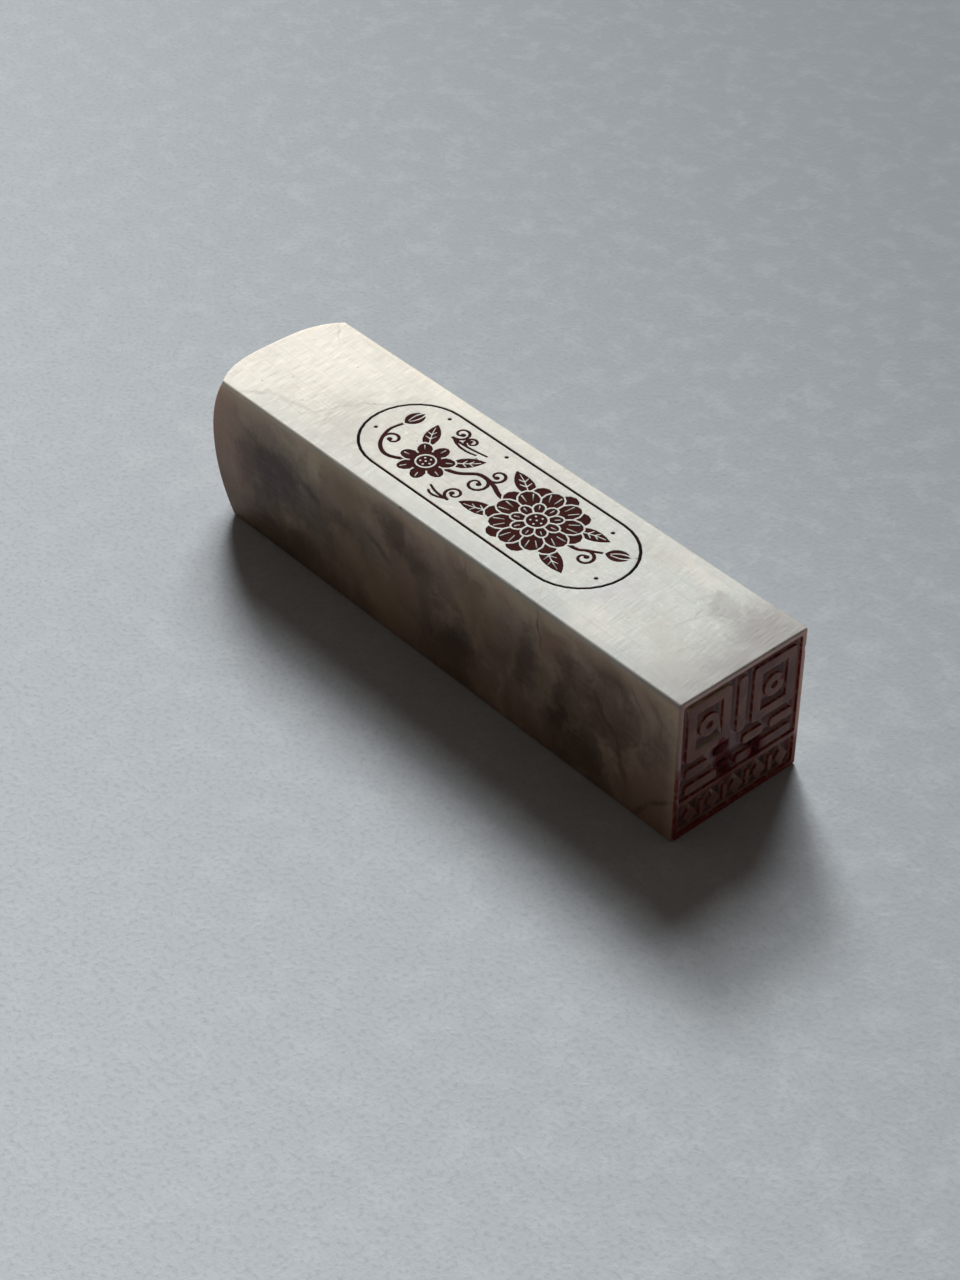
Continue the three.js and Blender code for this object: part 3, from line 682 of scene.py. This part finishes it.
        # A cool grey strip along the top's near edge: partly the stone's grey, partly painted shade
        # where light leaks out into the shaded side
        strip = self.between(self.across + mottle * 2.0, -3.4, -5.4)
        top = self.lay(strip * (drift * 0.36 + 0.24 + mottle * 0.3), top, "cool_strip")
        top = self.spotted(top, TOP_CLOUDS, ripple, 1.0, on_top=True)
        top = self.veined(top, TOP_VEINS, 1.0, on_top=True)
        # Darker towards the carved end: the stone's grey, and painted shade where the light falls
        # off
        top = self.lay(self.between(from_face, 8.5, -1.0) * 0.74, top, "shade")

        colour = self.mix(self.between(up, HEIGHT - 0.06, HEIGHT - 0.7), top, sides)
        return colour, mottle

    def carved(self, colour):
        """The carved end: pinkish strokes on a mauve grey ground, with ink along the strokes."""
        place, up, from_face = self.place, self.up, self.from_face
        inside = self.between(self.from_rim, *CARVING_RIM)
        deep = self.between(from_face, *GROUND_START)
        ground = deep * self.between(from_face, *GROUND_END) * inside
        strokes = self.between(from_face, *STROKE_SKIN) * inside
        smear = self.between(self.clouds(place, 0.6, detail=4.0, roughness=0.7), 0.34, 0.56)
        worn = self.clouds(place, 2.6, detail=4.0, roughness=0.6)
        # Darker and redder towards the foot: partly ink, partly painted shade as the light falls
        # off towards the floor
        low = self.between(up, 6.5, 0.5)
        ground_colour = self.blend(low * 0.8, "ground", "low_ground")
        colour = self.mix(ground * 0.92, colour, ground_colour)
        stroke_colour = self.blend(self.between(worn, 0.42, 0.6), "stroke", "worn_stroke")
        stroke_colour = self.lay(low, stroke_colour, "low_stroke")
        outer = self.between(self.from_rim, 0.7, 0.45) * self.between(low, 0.7, 0.25)
        stroke_colour = self.lay(outer * 0.85, stroke_colour, "outer_stroke")
        colour = self.mix(strokes * 0.85, colour, stroke_colour)

        # Ink: on the walls of the strokes, along the left and lower border, and round the paste
        facing = self.facing((1.0, 0.0, 0.0), 0.1 * MM, samples=6)
        carved = self.between(from_face, *CARVING_END) * inside
        walls = self.between(facing, 0.985, 0.9) * carved
        upper_wall = self.between(from_face, 0.4, 0.16) * 0.86 + 0.14
        left_border = self.between(self.across, 0.75 - HALF_WIDTH, 0.3 - HALF_WIDTH)
        left_border = left_border * self.between(up, 8.6, 7.4, 0.35, 1.0)
        border = left_border.at_least(self.between(up, 0.75, 0.3))
        border_ink = border * self.between(from_face, 0.18, 0.02) * (smear * 0.35 + 0.6)
        ink = (walls * upper_wall * (smear * 0.4 + 0.6)).at_least(border_ink)
        colour = self.lay(ink, colour, "ink")
        stain = 0.0
        for node in PASTE_NODES:
            low_corner, high_corner = (corner * PER_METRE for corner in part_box(node))
            apart = self.distance(self.shaken, tuple((low_corner + high_corner) / 2))
            stain = (self.between(apart, *STAIN_REACH) * carved * 0.94).at_least(stain)
        return self.lay(stain, colour, "thick_ink"), carved


def stone_finish(settings):
    """The stone's polish and carved end, with pits and the fine marks that sanding left."""
    stone = StoneFinish(settings)
    place = stone.place
    colour, mottle = stone.polished()

    pit_distance = stone.cells(place, PIT_SPACING)
    cell_colour = stone.cells(place, PIT_SPACING, "Color")
    chosen = stone.node("ShaderNodeSeparateColor", inputs={0: cell_colour})
    pits = stone.between(pit_distance, 0.15, 0.05) * stone.between(chosen, 0.93, 0.95)
    colour = stone.lay(pits * 0.5, colour, "brown")
    lengthwise = stone.clouds(stone.along_grain(place, *LENGTHWISE_GRAIN), 1.0, detail=2.0)
    crosswise = stone.clouds(stone.along_grain(place, *CROSSWISE_GRAIN), 1.0, detail=2.0)
    colour = stone.lay(stone.between(lengthwise, 0.5, 0.72) * 0.2, colour, "shade")

    colour, carved = stone.carved(colour)
    roughness = stone.between(crosswise, 0.3, 0.7, 0.44, 0.58) + carved * 0.2
    grain = stone.clouds(place, 0.2, detail=3.0) * carved
    grain = grain * stone.between(stone.from_face, 0.03, 0.1)
    marks = crosswise * 0.1 + lengthwise * 0.16 - pits * 0.8
    return stone.finished(
        Base_Color=colour,
        Roughness=roughness,
        IOR=1.53,
        Specular_IOR_Level=0.28,
        Subsurface_Weight=0.35,
        Subsurface_Radius=(1.0, 0.62, 0.45),
        Subsurface_Scale=0.0018,
        Normal=stone.bump(marks + grain * 2.2 + mottle * 0.3, 0.02),
    )


def paint_finish(settings, name, body):
    """Matt paint, rubbed into the engraving, and darker along its outline by painted shade."""
    paint = Finish(name, PAINT_TONES | {"body": body, "rim": settings.rim_colour})
    place = paint.place
    # Painted shade: a darker rim along the outline, where the engraving's walls shade the paint
    rim = paint.between(paint.facing((0.0, 0.0, 1.0), settings.rim_width, samples=8), 0.995, 0.9)
    grains = paint.clouds(place, 0.12, detail=3.0, roughness=0.7)
    patches = paint.clouds(place, 1.1, detail=4.0, roughness=0.6)
    hatching = paint.clouds(paint.along_grain(place, *HATCHING_GRAIN), 1.0, detail=2.0)
    colour = paint.blend(paint.between(patches, 0.42, 0.66) * 0.4, "body", "worn")
    colour = paint.lay(paint.between(grains, 0.46, 0.64) * 0.55, colour, "rim")
    colour = paint.lay(paint.between(hatching, 0.54, 0.68) * 0.45, colour, "rim")
    dust = paint.cells(place, 0.2)
    colour = paint.lay(paint.between(dust, 0.13, 0.05) * 0.25, colour, "dusty")
    return paint.finished(
        Base_Color=paint.lay(rim * 0.92, colour, "rim"),
        Roughness=paint.between(grains, 0.3, 0.7, 0.66, 0.85),
        IOR=1.48,
        Specular_IOR_Level=0.03,
        Normal=paint.bump(grains + patches * 0.5, 0.03),
    )


def paste_finish(settings):
    """Dried ink paste: dark, waxy and lumpy."""
    paste = Finish("dried_ink_paste", PASTE_TONES | {"body": settings.colour})
    lumps = paste.clouds(paste.place, settings.grain * PER_METRE, detail=4.0, roughness=0.6)
    fine = paste.clouds(paste.place, 0.08, detail=2.0)
    colour = paste.blend(paste.between(lumps, 0.38, 0.62), "wet", "body")
    return paste.finished(
        Base_Color=paste.lay(paste.between(fine, 0.6, 0.72) * 0.3, colour, "dry"),
        Roughness=paste.between(lumps, 0.35, 0.65, 0.5, 0.7),
        IOR=1.46,
        Specular_IOR_Level=0.15,
        Subsurface_Weight=0.1,
        Subsurface_Radius=(1.0, 0.2, 0.15),
        Subsurface_Scale=0.0004,
        Normal=paste.bump(lumps + fine * 0.3, 0.05),
    )


# Painted light makes the floor lighter that way, from one place to another; it is also paler far
# from the seal, in millimetres
PAINTED_LIGHT_WAY = (-0.385, -0.923, 0.0)
PAINTED_LIGHT_FROM, PAINTED_LIGHT_TO = -110.0, 75.0
FAR_FROM, FAR_TO = 150.0, 420.0


def floor_finish(settings):
    """Pale matt paper, faintly mottled, and a little lighter on one side by painted light."""
    floor = Finish("pale_floor", FLOOR_TONES | {"body": settings.floor_colour})
    place = floor.place
    mottling = floor.clouds(place, 3.6, detail=6.0, roughness=0.72)
    fibres = floor.clouds(place, 0.5, detail=3.0, roughness=0.6)
    that_way = floor.vector("DOT_PRODUCT", place, PAINTED_LIGHT_WAY, output="Value")
    painted_light = floor.between(that_way, PAINTED_LIGHT_FROM, PAINTED_LIGHT_TO)
    colour = floor.blend(painted_light, "body", "painted_light")
    distance = floor.distance(place, (0.0, 0.0, 0.0))
    colour = floor.lay(floor.between(distance, FAR_FROM, FAR_TO), colour, "far")
    mottled = floor.between(mottling, 0.46, 0.66) * (painted_light * 0.3 + 0.08)
    colour = floor.lay(mottled, colour, "mottle")
    return floor.finished(
        Base_Color=floor.lay(floor.between(fibres, 0.48, 0.7) * 0.3, colour, "fibre"),
        Roughness=0.85,
        Specular_IOR_Level=0.3,
        Normal=floor.bump(fibres + mottling, 0.05),
    )


# Mesh work


def merged_copy(node):
    """A node's shape in millimetres, as one connected mesh."""
    shape = bmesh.new()
    shape.from_mesh(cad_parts[node].data)
    bmesh.ops.scale(shape, vec=(PER_METRE,) * 3, verts=shape.verts)
    bmesh.ops.remove_doubles(shape, verts=shape.verts, dist=WELD)
    return shape


def rounded_edges(shape, edges, radius, segments):
    bmesh.ops.bevel(
        shape, geom=edges, offset=radius, offset_type="OFFSET", segments=segments,
        profile=0.5, affect="EDGES", clamp_overlap=True, material=-1,
    )


def block(low, high):
    """A closed block between two corners, in millimetres."""
    shape = bmesh.new()
    bmesh.ops.create_cube(shape, size=1.0)
    size = Vector(high) - Vector(low)
    bmesh.ops.scale(shape, vec=size, verts=shape.verts)
    bmesh.ops.translate(shape, vec=Vector(low) + size / 2, verts=shape.verts)
    return shape


def piece_from(shape, name):
    """A piece of the scene from a mesh in the making, in the same units."""
    mesh = bpy.data.meshes.new(name)
    shape.to_mesh(mesh)
    shape.free()
    piece = bpy.data.objects.new(name, mesh)
    bpy.context.scene.collection.objects.link(piece)
    return piece


def apply_modifier(piece, name, kind, **settings):
    modifier = piece.modifiers.new(name, kind)
    for setting, value in settings.items():
        setattr(modifier, setting, value)
    with bpy.context.temp_override(object=piece, active_object=piece):
        bpy.ops.object.modifier_apply(modifier=name)


def cut(piece, cutter):
    """Takes the cutter's shape out of the piece, and the cutter away."""
    apply_modifier(piece, "Cut", "BOOLEAN", operation="DIFFERENCE", solver="EXACT", object=cutter)
    mesh = cutter.data
    bpy.data.objects.remove(cutter)
    bpy.data.meshes.remove(mesh)


def dress(piece, material, *nodes, slot):
    """Brings a piece from millimetres to metres and makes it stand for its nodes."""
    piece.data.transform(Matrix.Scale(MM, 4))
    piece.data.materials.clear()
    piece.data.materials.append(material)
    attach(piece, BODY)
    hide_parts(*nodes)


def dome_swell(settings, across, up):
    """How far the domed end stands out past the bar's corners."""
    side = min(abs(across) / HALF_WIDTH, 1.0)
    upright = max(-1.0, min((up - MID_HEIGHT) / MID_HEIGHT, 1.0))
    swell = settings.swell_across * (1 - side ** SWELL_POWERS[0])
    swell += settings.swell_upright * (1 - abs(upright) ** SWELL_POWERS[1])
    return (swell - settings.dome_setback * (1 - upright) / 2) * PER_METRE


def cross_cuts(bar, radius):
    """Divides the bar's far end by upright and level cuts, closer together towards its edges."""
    for axis, middle, half in ((1, 0.0, HALF_WIDTH), (2, MID_HEIGHT, MID_HEIGHT)):
        for step in range(-DOME_CUTS, DOME_CUTS + 1):
            end_faces = [face for face in bar.faces if face.normal.x < END_FACING]
            edges = dict.fromkeys(edge for face in end_faces for edge in face.edges)
            corners = dict.fromkeys(corner for face in end_faces for corner in face.verts)
            at, normal = Vector(), Vector()
            at[axis] = middle + (half - radius) * math.sin(math.pi / 2 * step / DOME_CUTS)
            normal[axis] = 1.0
            bmesh.ops.bisect_plane(
                bar, geom=[*end_faces, *edges, *corners], dist=CUT_TOLERANCE,
                plane_co=at, plane_no=normal,
            )


def stone_bar(settings):
    """The polished bar, before it is carved and engraved."""
    face = STAMP_PLANE - WORKED_SKIN
    corner_end = STAMP_PLANE - settings.body_length * PER_METRE
    bar = block((corner_end, -HALF_WIDTH, 0.0), (face, HALF_WIDTH, HEIGHT - WORKED_SKIN))
    long_edges = [
        edge for edge in bar.edges
        if abs(edge.verts[0].co.x - edge.verts[1].co.x) > LONG_EDGE
    ]
    radius = settings.long_edge_radius * PER_METRE
    rounded_edges(bar, long_edges, radius, EDGE_SEGMENTS)

    cross_cuts(bar, radius)
    for corner in bar.verts:
        if corner.co.x < corner_end + WELD:
            corner.co.x -= dome_swell(settings, corner.co.y, corner.co.z)
    bar.normal_update()

    dome = {
        patch for patch in bar.faces
        if all(corner.co.x < corner_end + DOME_BAND for corner in patch.verts)
    }
    dome_rim = [edge for edge in bar.edges if len(set(edge.link_faces) & dome) == 1]
    rounded_edges(bar, dome_rim, settings.dome_rim_radius * PER_METRE, RIM_SEGMENTS)
    stamp_rim = [
        edge for edge in bar.edges
        if all(corner.co.x > face - WELD for corner in edge.verts)
    ]
    bevel = settings.stamp_rim_bevel * PER_METRE
    rounded_edges(bar, stamp_rim, bevel, STAMP_RIM_SEGMENTS)
    return bar


# Nicks along the stone's edges: middle and reach, in millimetres
NICKS = [
    ((-15.2, -7.56, 15.46), (0.36, 0.26, 0.22)),
    ((-2.6, -7.55, 15.45), (0.3, 0.28, 0.26)),
    ((12.8, -7.56, 15.46), (0.4, 0.28, 0.28)),
    ((-21.4, 7.55, 15.45), (0.36, 0.3, 0.28)),
    ((6.2, 7.54, 15.44), (0.5, 0.3, 0.3)),
    ((-11.6, -7.52, -0.02), (0.6, 0.34, 0.3)),
    ((17.8, -7.54, -0.02), (0.4, 0.3, 0.32)),
    ((24.0, 7.54, -0.02), (0.5, 0.3, 0.32)),
    ((32.4, -7.6, -0.08), (0.6, 0.5, 0.5)),
    ((32.44, -7.56, 5.6), (0.3, 0.26, 0.5)),
    ((32.44, 7.58, 13.1), (0.36, 0.34, 0.6)),
    ((32.42, 7.56, 0.0), (0.36, 0.4, 0.36)),
    ((32.46, 3.4, 15.46), (0.28, 0.5, 0.26)),
]

# The lumps that cut the nicks: how fine they are, how rough as a share of their size, in what
# waves, and how far apart in the noise two of them lie
NICK_SUBDIVISIONS = 2
NICK_ROUGHNESS = 0.4
NICK_WAVES = 1.4
NICK_SHIFT = 7.3


def nick_cutter(name):
    """Rough little lumps that take the nicks out of the stone, as one cutter."""
    lumps = bmesh.new()
    for index, (middle, reach) in enumerate(NICKS):
        made = bmesh.ops.create_icosphere(lumps, subdivisions=NICK_SUBDIVISIONS, radius=1.0)
        corners = made["verts"]
        for corner in corners:
            wave = noise.noise(corner.co * NICK_WAVES + Vector((index * NICK_SHIFT, 0.0, 0.0)))
            corner.co *= 1 + NICK_ROUGHNESS * wave
        bmesh.ops.scale(lumps, vec=reach, verts=corners)
        bmesh.ops.translate(lumps, vec=middle, verts=corners)
    return piece_from(lumps, name)


def hollow_of(window, name):
    """What the carved stone leaves open inside a window, as a cutter."""
    cutter = piece_from(window, name)
    stone = piece_from(merged_copy("stone_body"), name + "_stone")
    cut(cutter, stone)
    return cutter


class SEAL_OT_stone(bpy.types.Operator):
    """Makes the marbled stone with its domed grip end, its carving and its engraving"""

    bl_idname = "seal.stone"
    bl_label = "Stone"

    def execute(self, context):
        settings = context.scene.seal_stone
        stone = piece_from(stone_bar(settings), "seal_stone")
        cut(stone, nick_cutter("nicks"))
        margin = CARVING_MARGIN
        carving = block(
            (STAMP_PLANE - CARVING_DEPTH, -HALF_WIDTH + margin, margin),
            (STAMP_PLANE + CUTTER_REACH, HALF_WIDTH - margin, HEIGHT - margin),
        )
        cut(stone, hollow_of(carving, "carving"))
        low, high = (corner * PER_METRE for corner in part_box(LINE_NODE))
        margin = ENGRAVING_MARGIN
        engraving = block(
            (low.x - margin, low.y - margin, HEIGHT - ENGRAVING_DEPTH),
            (high.x + margin, high.y + margin, HEIGHT + CUTTER_REACH),
        )
        cut(stone, hollow_of(engraving, "engraving"))
        stone.data.shade_smooth()
        stone.data.set_sharp_from_angle(angle=SHARP_ANGLE)
        dress(stone, stone_finish(settings), "stone_body", slot="stone")
        shading = stone.modifiers.new("Shading", "WEIGHTED_NORMAL")
        shading.keep_sharp = True
        return {"FINISHED"}


# How fine the rounding of the paint's edges is
SOFTENED_SEGMENTS = 2


class SEAL_OT_paint(bpy.types.Operator):
    """Fills the engraving with paint: the thin line round the picture and each of its motifs"""

    bl_idname = "seal.paint"
    bl_label = "Engraving paint"

    def execute(self, context):
        settings = context.scene.seal_paint
        motif = paint_finish(settings, "motif_paint", settings.body_colour)
        line = paint_finish(settings, "line_paint", settings.rim_colour)
        for node in PAINT_NODES:
            piece = piece_from(merged_copy(node), "filled_" + node.removesuffix("_paint"))
            material, slot = (line, "line_paint") if node == LINE_NODE else (motif, "fill_paint")
            dress(piece, material, node, slot=slot)
            softened = piece.modifiers.new("Softened", "BEVEL")
            softened.width = settings.edge_softness
            softened.segments = SOFTENED_SEGMENTS
            softened.limit_method = "ANGLE"
        return {"FINISHED"}


# The lumps of paste, in millimetres: how fine their mesh is, and how far and in what waves it is
# pushed about once it is smooth. Blender's noise starts from the clock unless it gets a seed
LUMP_FINENESS = 0.035
LUMP_SMOOTHING = 0.5
LUMP_PUSH = 0.05
LUMP_WAVES = 2.6
LUMP_SEED = 1


class SEAL_OT_paste(bpy.types.Operator):
    """Leaves dried ink paste on the carved ground"""

    bl_idname = "seal.paste"
    bl_label = "Ink paste"

    def execute(self, context):
        settings = context.scene.seal_paste
        material = paste_finish(settings)
        noise.seed_set(LUMP_SEED)
        for node in PASTE_NODES:
            piece = piece_from(merged_copy(node), "smear_" + node[-1])
            apply_modifier(piece, "Lump", "REMESH", mode="VOXEL", voxel_size=LUMP_FINENESS)
            lump = bmesh.new()
            lump.from_mesh(piece.data)
            bmesh.ops.smooth_vert(
                lump, verts=lump.verts, factor=LUMP_SMOOTHING,
                use_axis_x=True, use_axis_y=True, use_axis_z=True,
            )
            for corner in lump.verts:
                corner.co += noise.noise_vector(corner.co * LUMP_WAVES) * LUMP_PUSH
            lump.to_mesh(piece.data)
            lump.free()
            piece.data.shade_smooth()
            dress(piece, material, node, slot="ink_paste")
        return {"FINISHED"}


# The camera: where it stands and what it looks at, in millimetres, its film and its near limit
CAMERA_AT = Vector((143.88, -127.29, 160.57))
CAMERA_AIM = Vector((8.69, -8.09, 7.7))
FILM_WIDTH = 36.0
NEAREST_SEEN = 0.01

# The window's upper and lower panes: which way each lies, how high, how wide it looks, all in
# degrees, and its share of the light
PANES = [
    ("upper_pane", 135.6, 44.0, 26.0, 0.57),
    ("lower_pane", 146.2, 34.5, 13.5, 0.43),
]
PANE_COLOUR = (1.0, 0.99, 0.98)

# The room: its light, what the camera sees past the floor, and how much brighter it is next to
# the window than away from it
ROOM_COLOUR = tint(255, 233, 216)
BACKDROP_COLOUR = tint(206, 211, 216)
ROOM_LEAN = 0.4

# How many squares the floor's mesh has along each side
FLOOR_SQUARES = 4


def pointing(turn, rise):
    """The direction that many degrees round from the X axis, and up."""
    turn, rise = math.radians(turn), math.radians(rise)
    level = math.cos(rise)
    return Vector((math.cos(turn) * level, math.sin(turn) * level, math.sin(rise)))


class SEAL_OT_stage(bpy.types.Operator):
    """Sets the floor, the window light, the room and the camera"""

    bl_idname = "seal.stage"
    bl_label = "Stage"

    def execute(self, context):
        settings = context.scene.seal_stage
        scene = context.scene

        ground = bmesh.new()
        bmesh.ops.create_grid(
            ground, x_segments=FLOOR_SQUARES, y_segments=FLOOR_SQUARES,
            size=settings.floor_size / 2,
        )
        floor = piece_from(ground, "floor")
        floor.data.materials.append(floor_finish(settings))

        for name, turn, rise, width, share in PANES:
            towards = pointing(turn, rise)
            pane = bpy.data.lights.new(name, "SUN")
            pane.angle = math.radians(width)
            pane.energy = settings.window_light * share * math.pi / towards.z
            pane.color = PANE_COLOUR
            lamp = bpy.data.objects.new(name, pane)
            lamp.location = towards
            lamp.rotation_euler = (-towards).to_track_quat("-Z", "Y").to_euler()
            scene.collection.objects.link(lamp)

        self.room(scene, settings)

        camera = bpy.data.cameras.new("camera")
        camera.lens = settings.lens
        camera.sensor_width = FILM_WIDTH
        camera.clip_start = NEAREST_SEEN
        eye = bpy.data.objects.new("camera", camera)
        eye.location = CAMERA_AT * MM
        eye.rotation_euler = (CAMERA_AIM - CAMERA_AT).to_track_quat("-Z", "Y").to_euler()
        scene.collection.objects.link(eye)
        scene.camera = eye
        scene.view_settings.view_transform = "Standard"
        return {"FINISHED"}

    @staticmethod
    def room(scene, settings):
        """Soft light from all round, brighter on the window's side, in front of a pale backdrop."""
        scene.world = bpy.data.worlds.new("room")
        room = Shader(scene.world)
        direction = room.node("ShaderNodeTexCoord", output="Generated")
        window = pointing(PANES[0][1], 0.0) * ROOM_LEAN
        lean = room.vector("DOT_PRODUCT", direction, window, output="Value")
        strength = lean * settings.room_light + settings.room_light
        inputs = {"Color": opaque(ROOM_COLOUR), "Strength": strength}
        light = room.node("ShaderNodeBackground", inputs=inputs)

        from_camera = room.node("ShaderNodeLightPath", output="Is Camera Ray")
        through = room.node("ShaderNodeLightPath", output="Is Transmission Ray")
        inputs = {"Color": opaque(BACKDROP_COLOUR)}
        backdrop = room.node("ShaderNodeBackground", inputs=inputs)
        seen = {0: from_camera.at_least(through), 1: light, 2: backdrop}
        shown = room.node("ShaderNodeMixShader", inputs=seen)
        room.node("ShaderNodeOutputWorld", inputs={"Surface": shown})


# The steps in their order, each with its settings in the scene
STEPS = {
    "seal_stage": (SEAL_OT_stage, StageSettings),
    "seal_stone": (SEAL_OT_stone, StoneSettings),
    "seal_paint": (SEAL_OT_paint, PaintSettings),
    "seal_paste": (SEAL_OT_paste, PasteSettings),
}


class SEAL_PT_panel(bpy.types.Panel):
    """Lists the seal's pieces and their sizes and colours"""

    bl_idname = "SEAL_PT_panel"
    bl_label = "Seal Stamp"
    bl_space_type = "VIEW_3D"
    bl_region_type = "UI"
    bl_category = "Seal"

    def draw(self, context):
        for group, (operator, settings) in STEPS.items():
            box = self.layout.box()
            for name in settings.__annotations__:
                box.prop(getattr(context.scene, group), name)
            box.operator(operator.bl_idname)


CLASSES = [*(part for step in STEPS.values() for part in step), SEAL_PT_panel]


def register():
    for part in CLASSES:
        bpy.utils.register_class(part)
    for name, (_, settings) in STEPS.items():
        setattr(bpy.types.Scene, name, PointerProperty(type=settings))


def unregister():
    for name in STEPS:
        delattr(bpy.types.Scene, name)
    for part in reversed(CLASSES):
        bpy.utils.unregister_class(part)


def main():
    register()
    bpy.ops.seal.stage()
    bpy.ops.seal.stone()
    bpy.ops.seal.paint()
    bpy.ops.seal.paste()


if __name__ == "__main__":
    main()
